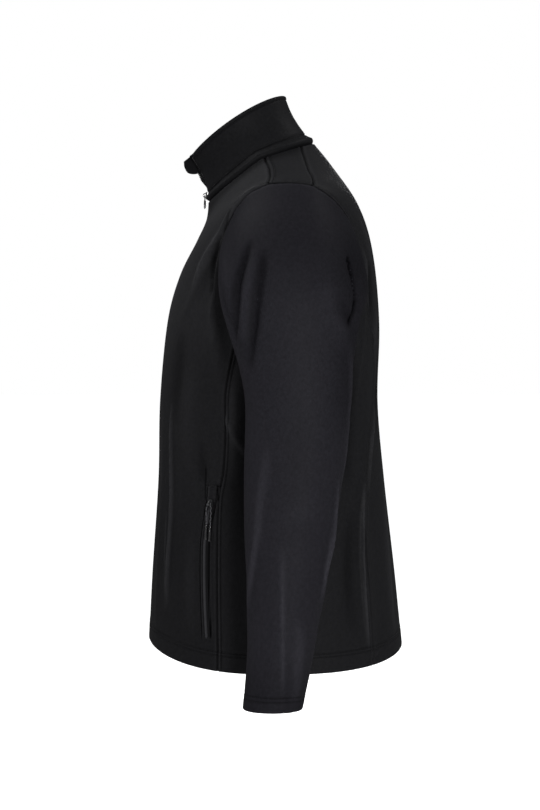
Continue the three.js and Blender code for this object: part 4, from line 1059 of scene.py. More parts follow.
def front_piece(right):
    points, at, us = front_grid()
    piece = Piece(points)
    piece.crease("front", right)
    piece.seam(points[:, 0], EDGE, 1, (0, False))
    piece.seam(seam_part(points, at, -1, 0, SIDE_TOP), PLAIN, 2)
    armhole_seam = seam_part(points, at, -1, SIDE_TOP, FRONT_TOP)
    piece.seam(armhole_seam, STITCHED, 3)
    piece.seam(points[-1, us >= 0.5], PLAIN, 4)
    piece.seam(points[-1, us <= 0.5], NECKLINE, 5)
    piece.shade(points[-1, us <= 0.5], *COLLAR_SHADE)
    z = points[..., 2]
    # Painted highlight on the chest and painted shade on the lower front
    piece.tone += CHEST_PAINTED_HIGHLIGHT * smoothstep(-300, -180, z) - LOW_PAINTED_SHADE * (1 - smoothstep(-520, -400, z))
    piece.hem(points[0], 1, False, HEM_STITCHES, HEM_TURN)
    distance, _ = line_field(points, armhole_seam, 14)
    piece.rows_of_stitches.append((distance, ARMHOLE_ROW, 0, True))
    # Painted shade just beyond the armhole's row of stitches
    piece.tone -= ARMHOLE_PAINTED_SHADE * bell((distance - 5.6) / 1.3)
    pocket_relief(piece)
    return piece


# Shade beside lines: its amount, its middle's distance from the line and its width
ROW_SHADE = (0.35, 5.4, 1.2)
NECK_SHADE = (0.3, 6, 13)
SHOULDER_ROW_SHADE = (0.35, 6.8, 1.3)


def side_piece(right):
    points = side_grid()
    piece = Piece(points)
    piece.crease("side", right)
    piece.seam(points[:, 0], STITCHED, 6, (0, False))
    piece.shade(points[:, 0], *ROW_SHADE)
    piece.seam(points[:, -1], STITCHED, 7, (0, True), tone=FAINT_SEAM_PAINTED_LIGHT)
    piece.seam(points[-1], STITCHED, 8, (1, True))
    piece.hem(points[0], 1, False, HEM_STITCHES, HEM_TURN)
    return piece


def back_piece():
    points, at, us = back_grid()
    piece = Piece(points)
    piece.crease("back")
    mirror = Piece(points[:, ::-1] * (-1, 1, 1))
    mirror.crease("back", True)
    piece.heights += mirror.heights[:, ::-1]
    # The right side's painted shade and painted highlight from its creases
    piece.tone += mirror.tone[:, ::-1]
    middle = (us >= NECK_BACK_SHARE) & (us <= 1 - NECK_BACK_SHARE)
    for end, far in ((0, False), (-1, True)):
        piece.seam(seam_part(points, at, end, 0, SIDE_TOP), PLAIN, 9, tone=FAINT_SEAM_PAINTED_LIGHT)
        line = seam_part(points, at, end, SIDE_TOP, BACK_TOP)
        piece.seam(line, STITCHED, 10)
        distance, _ = line_field(points, line, 14)
        piece.rows_of_stitches.append((distance, ARMHOLE_ROW, 0, far))
    piece.seam(points[-1, us <= NECK_BACK_SHARE], PLAIN, 11)
    piece.seam(points[-1, us >= 1 - NECK_BACK_SHARE], PLAIN, 12)
    piece.seam(points[-1, middle], NECKLINE, 13)
    piece.hem(points[0], 1, False, HEM_STITCHES, HEM_TURN)
    return piece


def shoulder_piece():
    points = shoulder_grid()
    piece = Piece(points)
    piece.seam(points[:, 0], WIDE, 14, (0, False))
    piece.seam(points[:, -1], PLAIN, 15)
    piece.seam(points[0], STITCHED, 16, (1, False))
    piece.seam(points[-1], NECKLINE, 17)
    piece.shade(points[-1], *NECK_SHADE)
    piece.shade(points[:, 0], *SHOULDER_ROW_SHADE)
    return piece


# Sleeve

SLEEVE_COLUMNS = 6
CUFF_STITCHES = (14, 19.4)
CUFF_TURN = 20
# Lengths in millimetres of the cap and of a ring's row at the cuff
CAP_LENGTH, CUFF_STEP = 95, 68
# Painted shade at the top of the cap, at the cuff and down the back of the arm
CAP_PAINTED_SHADE, CUFF_PAINTED_SHADE, ARM_BACK_PAINTED_SHADE = 0.26, 0.22, 0.3


def sleeve_piece(right):
    feet, turn = armhole_feet(SLEEVE_COLUMNS)
    cap = np.array(EDGE_STOPS) / CAP_LENGTH
    cap = np.concatenate([cap[:-1], np.linspace(cap[-1], 1, 34)])
    last = len(SLEEVE_RINGS) - 1
    ring_stops = np.concatenate([np.arange(0.05, 6.56, 0.05), last - np.array(HEM_STOPS[::-1]) / CUFF_STEP])
    rows = [cap_point(feet, turn, t) for t in cap]
    rows += [ring_point(turn, np.full_like(turn, at)) for at in ring_stops]
    smooth = np.array(rows)
    stops = np.concatenate([cap, 1 + ring_stops])
    normals = grid_normals(smooth, True)
    z = smooth[..., 2]
    heights = folds_at(SLEEVE_FOLDS, SLEEVE_RADIUS, np.degrees(turn)[None] + 0 * z, z)
    points = smooth + normals * (heights * smoothstep(0, 0.5, stops)[:, None])[..., None]
    piece = Piece(points, closed=True)
    piece.crease("sleeve", right)
    ring = np.concatenate([points[0], points[0, :1]])
    piece.seam(ring, CAP, 18, reach=26)
    y, z = points[..., 1], points[..., 2]
    # Painted shade: darker at the cap's top, at the cuff and on the back of the arm
    piece.tone -= CAP_PAINTED_SHADE * smoothstep(-190, -90, z) + CUFF_PAINTED_SHADE * (1 - smoothstep(-665, -600, z))
    piece.tone -= ARM_BACK_PAINTED_SHADE * smoothstep(40, 80, y) * window(z, -330, -110, 40)
    inseam = points[:, int(np.argmin(np.abs(turn - PI)))]
    piece.seam(inseam, PLAIN, 19)
    cuff = np.concatenate([points[-1], points[-1, :1]])
    piece.hem(cuff, 1, True, CUFF_STITCHES, CUFF_TURN)
    return piece


# Collar

COLLAR_RISE, COLLAR_LENGTH = 80, 390
COLLAR_FOOT_CREASE = 0.19
BAND_STITCH = 0.915
FOOT_STOPS = (0, 0.35, 0.8, 1.4, 2.1, 2.8, 3.6, 4.4, 5.2, 6, 7, 8, 9, 10, 11, 12.2, 13.6, 15.2, 17, 19.5)
BAND_STOPS = (14, 12.2, 10.6, 9.4, 8.6, 8, 7.5, 7, 6.5, 6, 5.4, 4.6, 3.8, 3, 2.2, 1.5, 0.9, 0.45, 0.15, 0)


def collar_piece():
    us = spaced(COLLAR_LENGTH, 2.8)
    v_low = np.array(FOOT_STOPS) / COLLAR_RISE
    v_high = 1 - np.array(BAND_STOPS) / COLLAR_RISE
    vs = np.concatenate([v_low[:-1], np.linspace(v_low[-1], v_high[0], 16)[:-1], v_high])
    u, v = np.meshgrid(us, vs)
    points = collar_point(u, v)
    piece = Piece(points)
    swell = collar_swell(v)
    piece.heights += swell
    piece.wall = COLLAR_CLOTH + swell
    length = run_length(points[0])
    along = np.broadcast_to(length, u.shape)
    foot = -1.5 * bell(v * COLLAR_RISE / 1.3)
    crease = -1.3 * bell((v - COLLAR_FOOT_CREASE) / 0.022) * (1 + 0.3 * wander(along, 21))
    band = -0.6 * bell((v - BAND_STITCH) / 0.014)
    ripple = 0.1 * np.sin(along * 2 * PI / 8.3 + 2 * wander(along, 22)) * bell((v - 0.13) / 0.07)
    soft = 0.7 * wander(along / 3.1, 23) * np.sin(PI * v) ** 2 * smoothstep(0.2, 0.5, v)
    piece.heights += foot + crease + band + ripple + soft
    # Painted shade in the collar's foot, its crease and the band's row of stitches
    piece.tone += 0.3 * (foot + crease + 1.4 * band)
    piece.inset = rounding((1 - v) * COLLAR_RISE, 1.6)
    piece.seam(points[:, 0], EDGE, 24, (0, False))
    piece.seam(points[:, -1], EDGE, 25, (0, True))
    edge = np.minimum(u, 1 - u) * COLLAR_LENGTH
    piece.inset = np.maximum(piece.inset, rounding(edge, 1.2) * (v > 0.02))
    piece.rows_of_stitches.append(((1 - v) * COLLAR_RISE, 6.8, 1, True))
    piece.rows_of_stitches.append((v * COLLAR_RISE, COLLAR_FOOT_CREASE * COLLAR_RISE + 1.8, 1, False))
    return piece


# Chin guard: the section across the zip and out from the cloth, and its reach along that section by rows
GUARD_SECTION = np.array(
    [(-9, -5.1), (-3, -5.1), (3, -5.1), (6.8, -4.9), (9.2, -3), (9.8, 0), (10, 3.5), (10.2, 7), (10.4, 10.5)]
)
GUARD_ROWS = np.array(
    [(0.63, 4.1), (0.65, 5.4), (0.68, 6.5), (0.72, 7.4), (0.78, 8), (0.84, 8), (0.91, 7.6), (0.98, 6.8)]
)
GUARD_WALL = 1.2


def guard_piece():
    at = np.linspace(0, len(GUARD_ROWS) - 1, 34)
    v, reach = columns_at(GUARD_ROWS, at)
    one = np.ones_like(v)
    edge = collar_point(one, v)
    across = unit(edge - collar_point(one * 0.9875, v))
    normal = collar_normal(one, v)
    share = np.linspace(0, 1, 30)
    section = column(GUARD_SECTION, reach[:, None] * share[None])
    points = edge[:, None] + across[:, None] * section[..., :1] + normal[:, None] * section[..., 1:]
    piece = Piece(points)
    piece.wall[:] = GUARD_WALL
    rim = np.concatenate([points[0, 8:], points[1:-1, -1], points[-1, 8:][::-1]])
    distance, _ = line_field(points, rim, 8)
    piece.inset = rounding(distance, GUARD_WALL / 2) * 0.8
    piece.heights -= 0.15 * bell((distance - 2.6) / 0.5)
    return piece


# Front zip: a tape's section as distance from the cloth's edge and out, and a tooth's outline on it

TAPE_SECTION = np.array([(-4.5, -4.05), (-1.5, -4.05), (1.6, -3.9), (2.8, -3.4), (3.7, -2.7), (4.9, -2.1)])
TAPE_THICK = 0.7
TEETH_PITCH = 2.5
TEETH_MIDDLE = -2.1
TEETH_HALF = 1.35
TOOTH = np.array(
    [
        (3.3, -0.72), (5.1, -0.78), (5.6, -0.42), (6.25, -0.4), (6.6, -0.82), (7.2, -0.76), (7.45, -0.35),
        (7.45, 0.35),
        (7.2, 0.76), (6.6, 0.82), (6.25, 0.4), (5.6, 0.42), (5.1, 0.78), (3.3, 0.72),
    ]
)
ZIP_TOP = 0.985
ZIP_START = 1.5


def zip_frames(side, step):
    """Evenly spaced points of the cloth's edge, directions across the zip and outward normals."""
    levels = front_levels(np.linspace(0, 20.9, 130))
    point = smooth_body(middle_angle(levels), levels)
    point[0, 2] += ZIP_START
    normal = normal_of(smooth_body, np.zeros_like(levels), levels, 0.01, 0.03)
    across = np.zeros_like(point)
    across[:, 0] = -1
    if side < 0:
        point[:, 0] *= -1
        across[:, 0] *= -1
    v = np.linspace(0.02, ZIP_TOP, 40)
    edge, inside = (0, 0.012) if side > 0 else (1, 0.988)
    upper = collar_point(np.full_like(v, edge), v)
    out = unit(upper - collar_point(np.full_like(v, inside), v))
    facing = collar_normal(np.full_like(v, edge), v)
    opened = smoothstep(COLLAR_JOINED, 0.5, v)[:, None]
    upper[:, 0] = side * np.maximum(np.abs(upper[:, 0]), ZIP_EDGE)
    out = unit(mix(np.array([-side, 0, 0]), out, opened))
    facing[:, 0] *= opened[:, 0]
    pairs = ((point, upper), (across, out), (normal, unit(facing)))
    frames = np.concatenate([np.concatenate(pair) for pair in pairs], 1)
    length = run_length(frames[:, :3])
    at = np.arange(0, length[-1], step)
    even = np.stack([np.interp(at, length, frames[:, k]) for k in range(9)], -1)
    return even[:, :3], unit(even[:, 3:6]), unit(even[:, 6:])


def zip_tape(side, name):
    point, across, normal = zip_frames(side, 2.2)
    at = np.linspace(0, len(TAPE_SECTION) - 1, 14)
    section = column(TAPE_SECTION, at)
    grid = point[:, None] + across[:, None] * section[:, :1] + normal[:, None] * section[:, 1:]
    if side < 0:
        grid = grid[:, ::-1]
    grid = grid[:, ::-1]
    facing = grid_normals(grid, False)
    bead = 0.5 * bell((section[:, 0] - 4.5) / 0.7)
    bead = bead[::-1] if side > 0 else bead
    outer, inner = grid + facing * bead[:, None], grid - facing * (TAPE_THICK + bead[:, None])
    return shell_object(name, outer, inner, False)


def zip_teeth(side, name):
    point, across, normal = zip_frames(side, TEETH_PITCH / 2)
    start = 1 if side > 0 else 2
    verts, faces = [], []
    count = len(TOOTH)
    for i in range(start, len(point) - 1, 2):
        up = unit(point[i + 1] - point[i - 1])
        outward = unit(np.cross(across[i], up))
        if outward @ normal[i] < 0:
            outward = -outward
        base = len(verts)
        for level, inset in ((-TEETH_HALF, 1), (TEETH_HALF - 0.35, 1), (TEETH_HALF, 0.78)):
            for d, s in TOOTH:
                d = 5.4 + (d - 5.4) * (1 - (1 - inset) * 0.45)
                verts.append(point[i] + across[i] * d + outward * (TEETH_MIDDLE + level) + up * s * inset)
        rings = []
        for ring in (0, 1):
            for k in range(count):
                n = (k + 1) % count
                a, b = base + ring * count + k, base + ring * count + n
                rings.append((a, b, b + count, a + count))
        lids = [tuple(base + level * count + k for k in range(count)) for level in (0, 2)]
        faces += [*rings, lids[0][::-1], lids[1]]
    if side < 0:
        faces = [face[::-1] for face in faces]
    return mesh_object(name, verts, faces, smooth=False)


def lofted(name, rings):
    """A closed tube through rings of points, with its UV round and along."""
    rings = np.array(rings)
    rows, columns = rings.shape[:2]
    faces = quads(rows, columns, True).tolist()
    verts = [*rings.reshape(-1, 3), rings[0].mean(0), rings[-1].mean(0)]
    last = (rows - 1) * columns
    for k in range(columns):
        n = (k + 1) % columns
        faces += [(len(verts) - 2, n, k), (len(verts) - 1, last + k, last + n)]
    length = run_length(rings.mean(1))
    round_at = np.arange(columns) / columns
    uv = np.stack(np.meshgrid(round_at, length), -1).reshape(-1, 2)
    return mesh_object(name, verts, faces, np.concatenate([uv, [(0, 0), (0, length[-1])]]))


def mirrored_mesh(source, name):
    copy = source.data.copy()
    for vertex in copy.vertices:
        vertex.co.x = -vertex.co.x
    copy.flip_normals()
    copy.name = name
    return link(bpy.data.objects.new(name, copy))


def pocket_strip(name):
    share = np.linspace(0, 1, 130)
    place = pocket_line(share)
    line = on_body(place)
    normal = body_normal(place[:, 0], place[:, 1])
    up = unit(np.gradient(line, axis=0))
    across = unit(np.cross(up, normal))
    tucked = smoothstep(GARAGE["bottom"] - 2, GARAGE["bottom"] + 1, line[:, 2])
    lift = mix(0.3, 1, smoothstep(0.02, 0.035, share)) * mix(1, 0.2, tucked)
    rings = []
    for i in range(len(line)):
        x = STRIP_SECTION[:, :1]
        rings.append(line[i] + across[i] * x + normal[i] * (STRIP_SECTION[:, 1:] * lift[i] - 0.1))
    strip = lofted(name, [ring[::-1] for ring in rings])
    # Painted shade and painted highlight across the strip, ring by ring
    tone = np.tile(STRIP_PAINTED_LIGHT[::-1], len(rings))
    point_values(strip, "tone", np.append(tone, (0, 0)))
    return strip


# Cord pullers

POCKET_SLIDER_Z = -444
SLIDER_LIFT = 2.1
CORD_WIDTH = 1.9
CORD_ROUTE = np.array(
    [
        (-4.9, 3.2, -28), (-4.6, 3.8, -20), (-4.2, 4.4, -12), (-3.6, 4.6, -5.5), (-2.6, 4.5, -1.5),
        (-1.3, 4.15, 0.2),
        (0, 3.95, 0.6), (1.3, 4.15, 0.2), (2.4, 4.5, -1.8), (2.9, 4.6, -6), (2.8, 4.4, -13), (2, 3.9, -21),
        (1.2, 3.2, -30),
    ]
)
# A tip's radius along it: a collar where the cord goes in, a slightly waisted grip with rings, a round end
TIP_PROFILE = np.array(
    [
        (0.2, 0.0), (0.25, 1.1), (0.5, 1.5), (1.0, 1.72), (1.8, 1.86), (2.6, 1.88), (2.9, 1.62),
        (3.3, 1.6), (3.6, 1.86),
        (4.6, 1.85), (4.9, 1.62), (5.3, 1.6), (5.6, 1.84), (7.2, 1.8), (9.5, 1.72), (12.5, 1.7), (15.5, 1.76),
        (18.1, 1.84), (19.2, 1.84), (19.9, 1.74), (20.4, 1.5), (20.75, 1.1), (20.9, 0.6), (20.95, 0.0),
    ]
)


def pocket_frame():
    share = (POCKET_SLIDER_Z - POCKET_BOTTOM) / (POCKET_TOP - POCKET_BOTTOM)
    place = pocket_line(np.array([share]))[0]
    normal = body_normal(place[0], place[1])
    origin = body_point(place[0], place[1]) + normal * SLIDER_LIFT
    across = unit(np.cross((0, 0, 1), normal))
    return origin, across, normal, np.cross(normal, across)


def cord_points(steps):
    origin, across, normal, up = pocket_frame()
    fine = column(CORD_ROUTE, np.linspace(0, len(CORD_ROUTE) - 1, steps))
    return origin + fine[:, :1] * across + fine[:, 1:2] * normal + fine[:, 2:] * up


def turned_frames(line):
    """Two directions square to a line that turn as little as they can along it."""
    tangent = unit(np.gradient(line, axis=0))
    side = unit(np.cross(tangent[0], (0.3, 1, 0.2)))
    sides = []
    for t in tangent:
        side = unit(side - t * (side @ t))
        sides.append(side)
    return tangent, np.array(sides), np.cross(tangent, np.array(sides))


BRAID_PITCH, BRAID_DEPTH, BRAID_STRANDS = 7, 0.22, 2


def cord_object(name):
    """A braided cord: the tube's radius swells where strands cross over it in both directions."""
    line = resample(cord_points(200), 0.26)
    _, one, two = turned_frames(line)
    columns = 24
    turn = np.arange(columns) * 2 * PI / columns
    at = np.arange(len(line)) * 0.26 / BRAID_PITCH * 2 * PI
    left = np.cos(BRAID_STRANDS * turn[None] + at[:, None])
    right = np.cos(BRAID_STRANDS * turn[None] - at[:, None])
    swell = np.maximum(left, right)
    radius = CORD_WIDTH / 2 - BRAID_DEPTH + BRAID_DEPTH * swell
    rings = line[:, None] + radius[..., None] * (
        np.cos(turn)[None, :, None] * one[:, None] + np.sin(turn)[None, :, None] * two[:, None]
    )
    braided = lofted(name, rings)
    # Painted shade in the braid's valleys and painted highlight on the strands' crests
    point_values(braided, "tone", np.append(mix(-0.85, 0.9, smoothstep(0.45, 0.85, swell)), (0, 0)))
    return braided


def tip_object(name, end):
    line = cord_points(200)
    at, direction = (line[0], unit(line[0] - line[3])) if end == 0 else (line[-1], unit(line[-1] - line[-4]))
    one = unit(np.cross(direction, (0.3, 1, 0.2)))
    two = np.cross(direction, one)
    turn = np.arange(28) * 2 * PI / 28
    rings = [
        at + direction * along + radius * (np.cos(turn)[:, None] * one + np.sin(turn)[:, None] * two)
        for along, radius in TIP_PROFILE[1:-1]
    ]
    return lofted(name, rings)


# Materials

CLOTH_ROUGH, WEAVE = 0.8, 190


def scaled(colour, share):
    return tuple(c * share for c in colour)


class Look:
    """A material's principled shader and the nodes that feed it."""

    def __init__(self, name):
        self.material = bpy.data.materials.new(name)
        self.material.use_nodes = True
        self.nodes, self.links = self.material.node_tree.nodes, self.material.node_tree.links
        self.nodes.clear()
        self.shader = self.nodes.new("ShaderNodeBsdfPrincipled")
        output = self.nodes.new("ShaderNodeOutputMaterial")
        self.links.new(self.shader.outputs["BSDF"], output.inputs["Surface"])
        place = self.nodes.new("ShaderNodeTexCoord")
        self.uv, self.solid = place.outputs["UV"], place.outputs["Object"]

    def feed(self, socket, value):
        """Links an output to a socket, or gives the socket a number or a colour."""
        if isinstance(value, bpy.types.NodeSocket):
            self.links.new(value, socket)
        else:
            socket.default_value = (*value, 1) if isinstance(value, tuple) else value

    def shade(self, **values):
        for key, value in values.items():
            self.feed(self.shader.inputs[key.replace("_", " ")], value)

    def node(self, kind, **values):
        made = self.nodes.new(kind)
        for key, value in values.items():
            if hasattr(made, key):
                setattr(made, key, value)
            else:
                self.feed(made.inputs[key.replace("_", " ")], value)
        return made

    def noise(self, scale, detail=3, roughness=0.55):
        values = {"Vector": self.solid, "Scale": scale, "Detail": detail, "Roughness": roughness}
        return self.node("ShaderNodeTexNoise", **values).outputs["Fac"]

    def wave(self, source, direction, scale, distortion=0):
        made = self.node("ShaderNodeTexWave", wave_type="BANDS", bands_direction=direction)
        for key, value in (("Vector", source), ("Scale", scale), ("Distortion", distortion)):
            self.feed(made.inputs[key], value)
        return made.outputs["Fac"]

    def math(self, operation, a, b):
        made = self.node("ShaderNodeMath", operation=operation)
        self.feed(made.inputs[0], a)
        self.feed(made.inputs[1], b)
        return made.outputs[0]

    def times(self, a, b):
        return self.math("MULTIPLY", a, b)

    def mixed(self, factor, a, b):
        made = self.node("ShaderNodeMix", data_type="RGBA")
        self.links.new(factor, made.inputs["Factor"])
        self.feed(made.inputs[6], a)
        self.feed(made.inputs[7], b)
        return made.outputs[2]

    def ranged(self, value, low, high):
        return self.node("ShaderNodeMapRange", Value=value, To_Min=low, To_Max=high).outputs["Result"]

    def attribute(self, name):
        return self.node("ShaderNodeAttribute", attribute_name=name).outputs["Fac"]

    def tone(self):
        """One plus the piece's painted light: under one where shade is painted in its grooves and troughs,
        over one where highlight is painted on its ridges.
        """
        return self.math("ADD", self.attribute("tone"), 1)

    def colour(self, colour, share):
        made = self.node("ShaderNodeVectorMath", operation="SCALE", Scale=share)
        self.links.new(colour, made.inputs[0])
        self.shade(Base_Color=made.outputs[0])

    def bumps(self, layers):
        """Bump layers one on the other: height, strength and distance in metres."""
        last = None
        for height, strength, distance in layers:
            made = self.node("ShaderNodeBump", Height=height, Strength=strength, Distance=distance)
            if last is not None:
                self.links.new(last, made.inputs["Normal"])
            last = made.outputs["Normal"]
        self.shade(Normal=last, Coat_Normal=last)


def cloth_material(name, colour, gloss):
    """A smooth fine-faced softshell: a close weave, soft mottling of the bonded face, paler worn edges."""
    look = Look(name)
    threads = look.times(*(look.wave(look.uv, direction, WEAVE, 0.6) for direction in ("X", "Y")))
    mottle, speck, patches = look.noise(240, 4, 0.65), look.noise(850, 2, 0.6), look.noise(9)
    grainy = look.math("ADD", look.times(speck, 0.45), look.times(mottle, 0.55))
    shade = look.mixed(grainy, scaled(colour, -1.2), scaled(colour, 3.4))
    shade = look.mixed(look.times(threads, 0.5), shade, scaled(colour, 1.1))
    shade = look.mixed(look.times(patches, 0.2), shade, colour)
    shade = look.mixed(look.times(look.attribute("wear"), 0.2), shade, scaled(colour, 1.5))
    # The painted light scales the colour and the gloss: painted shade in troughs and grooves, painted
    # highlight on ridges
    tone = look.tone()
    look.colour(shade, tone)
    look.shade(Coat_Weight=look.times(tone, gloss), Coat_IOR=1.25, Coat_Roughness=0.56, Specular_IOR_Level=0)
    look.shade(Roughness=look.ranged(mottle, CLOTH_ROUGH - 0.06, CLOTH_ROUGH + 0.06))
    crumple, grain = look.noise(24, 4, 0.6), look.noise(900, 2)
    look.bumps([(crumple, 0.35, 0.0022), (grain, 0.3, 0.00025), (threads, 0.4, 0.00012)])
    return look.material


def trim_material(name, colour, rough, specular, ribs=0, rib_depth=0.0002, axis="Y"):
    """Zip tape, moulded teeth, painted metal, cord and plastic, with fine wear. Ribs follow the UV, or the
    place where they are coarse."""
    look = Look(name)
    scratch, blotch = look.noise(420, 4, 0.7), look.noise(60)
    shade = look.mixed(blotch, scaled(colour, 0.75), scaled(colour, 1.35))
    # The colour is scaled by the painted light: painted shade and highlight on the pocket strip and the cord
    look.colour(look.mixed(scratch, shade, scaled(colour, 1.2)), look.tone())
    look.shade(Roughness=look.ranged(scratch, rough - 0.08, rough + 0.1), Specular_IOR_Level=specular)
    layers = [(scratch, 0.25, 0.00012)]
    if ribs:
        layers.append((look.wave(look.uv if ribs > 90 else look.solid, axis, ribs), 0.6, rib_depth))
    look.bumps(layers)
    return look.material


CLOTH_COLOUR = (0.00205, 0.00205, 0.00225)
SLEEVE_COLOUR = (0.00295, 0.00285, 0.0035)
ZIP_COLOUR = (0.0017, 0.0017, 0.0019)
STRIP_COLOUR = (0.0046, 0.0046, 0.0050)
METAL_COLOUR = (0.0035, 0.0035, 0.0039)
CORD_COLOUR = (0.013, 0.013, 0.014)
TIP_COLOUR = (0.0012, 0.0012, 0.0014)
THREAD_COLOUR = (0.0024, 0.0024, 0.0027)

cloth_look = cloth_material("softshell", CLOTH_COLOUR, 0.08)
# Darker copies of the softshell for the chin guard and the collar, which lie in shade: painted shade
guard_painted_shade_look = cloth_material("softshell_guard_painted_shade", scaled(CLOTH_COLOUR, 0.55), 0.03)
collar_painted_shade_look = cloth_material("softshell_collar_painted_shade", scaled(CLOTH_COLOUR, 0.85), 0.07)
sleeve_look = cloth_material("softshell_sleeve", SLEEVE_COLOUR, 0.058)
tape_look = trim_material("zip_tape", ZIP_COLOUR, 0.7, 0.06, ribs=260, rib_depth=0.0002)
strip_look = trim_material("pocket_zip", STRIP_COLOUR, 0.75, 0.01, ribs=260, rib_depth=0.0001)
teeth_look = trim_material("zip_teeth", ZIP_COLOUR, 0.5, 0.07)
metal_look = trim_material("zip_metal", METAL_COLOUR, 0.4, 0.16)
tab_look = trim_material("pull_tab", METAL_COLOUR, 0.5, 0.07, ribs=60, rib_depth=0.0003, axis="Z")
cord_look = trim_material("cord", CORD_COLOUR, 0.55, 0.03)
tip_look = trim_material("cord_tip", TIP_COLOUR, 0.1, 0.2)
thread_look = trim_material("thread", THREAD_COLOUR, 0.7, 0.04)


def dress(obj, look):
    obj.data.materials.clear()
    obj.data.materials.append(look)
    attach(obj, "root")
    return obj


# The jacket's pieces


def place_cloth(piece, name, look=cloth_look, mirrored=False):
    shell, threads = piece.build("look_" + name, mirrored)
    dress(shell, look)
    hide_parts(name)
    if threads:
        dress(threads, thread_look)
    return shell


cloths = {}
for right in (False, True):
    tail = "_R" if right else "_L"
    cloths["front" + tail] = place_cloth(front_piece(right), "front" + tail, mirrored=right)
    cloths["side" + tail] = place_cloth(side_piece(right), "side" + tail, mirrored=right)
    cloths["shoulder" + tail] = place_cloth(shoulder_piece(), "shoulder" + tail, mirrored=right)
    sleeve = sleeve_piece(right)
    cloths["sleeve" + tail] = place_cloth(sleeve, "sleeve" + tail, sleeve_look, right)
cloths["back"] = place_cloth(back_piece(), "back")
cloths["collar"] = place_cloth(collar_piece(), "collar", collar_painted_shade_look)
cloths["chin_guard"] = place_cloth(guard_piece(), "chin_guard", guard_painted_shade_look)

for side, tail in ((1, "_L"), (-1, "_R")):
    tape = dress(zip_tape(side, "look_zip_tape" + tail), tape_look)
    teeth = dress(zip_teeth(side, "zip_teeth" + tail), teeth_look)
    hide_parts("zip_tape" + tail)

strip = pocket_strip("look_pocket_zip_L")
cord = cord_object("look_pocket_cord_L")
tips = {"front": tip_object("look_pocket_tip_front_L", 0), "back": tip_object("look_pocket_tip_back_L", 1)}
for tail in ("_L", "_R"):
    right = tail == "_R"
    if right:
        strip = mirrored_mesh(strip, "look_pocket_zip_R")
        cord = mirrored_mesh(cord, "look_pocket_cord_R")
        tips = {end: mirrored_mesh(tip, f"look_pocket_tip_{end}_R") for end, tip in tips.items()}
    dress(strip, strip_look)
    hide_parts("pocket_zip" + tail)
    dress(cord, cord_look)
    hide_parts("pocket_cord" + tail)
    for end, tip in tips.items():
        dress(tip, tip_look)
        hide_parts(f"pocket_tip_{end}{tail}")
    path = cord_points(30) * MM * ((-1, 1, 1) if right else (1, 1, 1))
    length = float(np.linalg.norm(np.diff(cord_points(300), axis=0), axis=1).sum()) * MM

# The sliders and the pull tab keep their solids. Their meshes share no corners, so the bevel rounds nothing,
# and the swell that makes the tab's grip fuller opens the grip's edges by up to 0.85 mm.
# The swell, the pivot, and how far from it the grip starts and is full, in metres.
TAB_SWELL = 0.0006
TAB_PIVOT = (0, -0.11118, -0.0384)
GRIP_START, GRIP_FULL = 0.007, 0.009

for name, look in (
    ("zip_slider", metal_look),
    ("zip_pull_tab", tab_look),
    ("pocket_slider_L", metal_look),
    ("pocket_slider_R", metal_look),
):
    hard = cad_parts[name]
    if name == "zip_pull_tab":
        fuller = hard.modifiers.new("moulded_grip", "DISPLACE")
        fuller.strength = TAB_SWELL
        fuller.mid_level = 0
        grip = hard.vertex_groups.new(name="grip")
        for corner in hard.data.vertices:
            reach = (hard.matrix_world @ corner.co - Vector(TAB_PIVOT)).length
            share = min(1, max(0, (reach - GRIP_START) / (GRIP_FULL - GRIP_START)))
            grip.add([corner.index], share, "REPLACE")
        fuller.vertex_group = "grip"
    bevel = hard.modifiers.new("rounded_edges", "BEVEL")
    bevel.width = 0.00035
    bevel.segments = 2
    bevel.limit_method = "ANGLE"
    hard.data.materials.clear()
    hard.data.materials.append(look)

# Each cloth piece's name, split into its kind and side

for name, shell in cloths.items():
    kind, tail = (name[:-2], name[-2:]) if name.endswith(("_L", "_R")) else (name, "")

# Camera, floor and light

camera_data = bpy.data.cameras.new("camera")
camera = link(bpy.data.objects.new("camera", camera_data))
camera.location = CAMERA_PLACE
looking = Vector(CAMERA_TARGET) - Vector(CAMERA_PLACE)
camera.rotation_euler = looking.to_track_quat("-Z", "Y").to_euler()
camera_data.sensor_fit = "VERTICAL"
camera_data.sensor_height = SENSOR
camera_data.lens = FOCAL_SHARE * SENSOR
camera_data.clip_end = 100
bpy.context.scene.camera = camera

FLOOR_Z, FLOOR_RADIUS, FLOOR_MIDDLE, FLOOR_SIDES = -1.4, 14, 1.5, 96


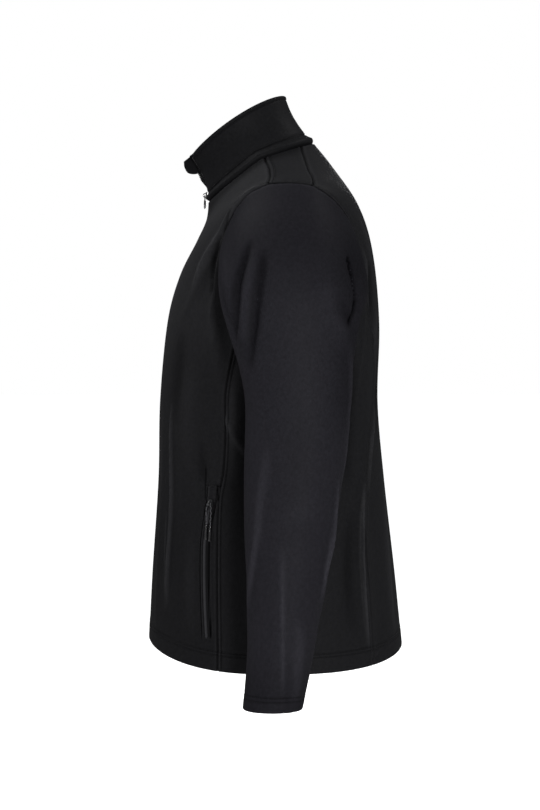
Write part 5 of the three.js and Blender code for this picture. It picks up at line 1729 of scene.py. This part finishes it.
def floor_object():
    turn = np.arange(FLOOR_SIDES) * 2 * PI / FLOOR_SIDES
    verts = [(0, 0, FLOOR_Z / MM)] + [
        (radius / MM * math.cos(a), radius / MM * math.sin(a), FLOOR_Z / MM)
        for radius in (FLOOR_MIDDLE, FLOOR_RADIUS)
        for a in turn
    ]
    faces = []
    for k in range(FLOOR_SIDES):
        a, b = 1 + k, 1 + (k + 1) % FLOOR_SIDES
        faces += [(0, a, b), (a, a + FLOOR_SIDES, b + FLOOR_SIDES, b)]
    floor = mesh_object("floor", verts, faces)
    look = Look("floor")
    look.shade(Base_Color=look.mixed(look.noise(1.5), (0.5, 0.5, 0.5), (0.53, 0.53, 0.53)), Roughness=0.9)
    look.shade(Specular_IOR_Level=0.1, Emission_Color=(1, 1, 1), Emission_Strength=0.56)
    floor.data.materials.append(look.material)


floor_object()

# Lights: name, place, size and power, all aimed at the middle of the jacket
LIGHT_TARGET = (0.05, 0, -0.28)
LIGHTS = (
    ("key", (3.1, 0.6, 0.0), 0.6, 196),
    ("side_front", (2.4, -1.6, 1.2), 0.6, 12),
    ("top_front", (-0.2, -1.4, 2.1), 0.6, 105),
    ("far_top_front", (-0.9, -1.7, 1.7), 0.6, 62),
    ("far_top_back", (-0.7, 1.6, 1.8), 0.6, 72),
    ("top", (0.1, -0.2, 2.4), 0.6, 12),
    ("far_side", (-2.9, 0.2, 0.4), 0.8, 70),
    ("front", (0.3, -2.9, 0.5), 0.8, 12),
)


def aimed(place, target):
    return (Vector(target) - Vector(place)).to_track_quat("-Z", "Y").to_euler()


for name, place, size, power in LIGHTS:
    lamp = bpy.data.lights.new(name, "AREA")
    lamp.shape = "DISK"
    lamp.size = size
    lamp.energy = power
    light = link(bpy.data.objects.new(name, lamp))
    light.location = place
    light.rotation_euler = aimed(place, LIGHT_TARGET)

# The sky: plain white to the camera, a little dimmer and cooler as light
world = bpy.data.worlds.new("studio")
world.use_nodes = True
bpy.context.scene.world = world
tree = world.node_tree
tree.nodes.clear()
rays = tree.nodes.new("ShaderNodeLightPath")
chosen = tree.nodes.new("ShaderNodeMixShader")
sky = tree.nodes.new("ShaderNodeOutputWorld")
tree.links.new(rays.outputs["Is Camera Ray"], chosen.inputs["Fac"])
for socket, colour, strength in ((1, (0.97, 0.98, 1, 1), 0.9), (2, (1, 1, 1, 1), 1.0)):
    glow = tree.nodes.new("ShaderNodeBackground")
    glow.inputs["Color"].default_value = colour
    glow.inputs["Strength"].default_value = strength
    tree.links.new(glow.outputs["Background"], chosen.inputs[socket])
tree.links.new(chosen.outputs["Shader"], sky.inputs["Surface"])
bpy.context.scene.view_settings.view_transform = "Standard"
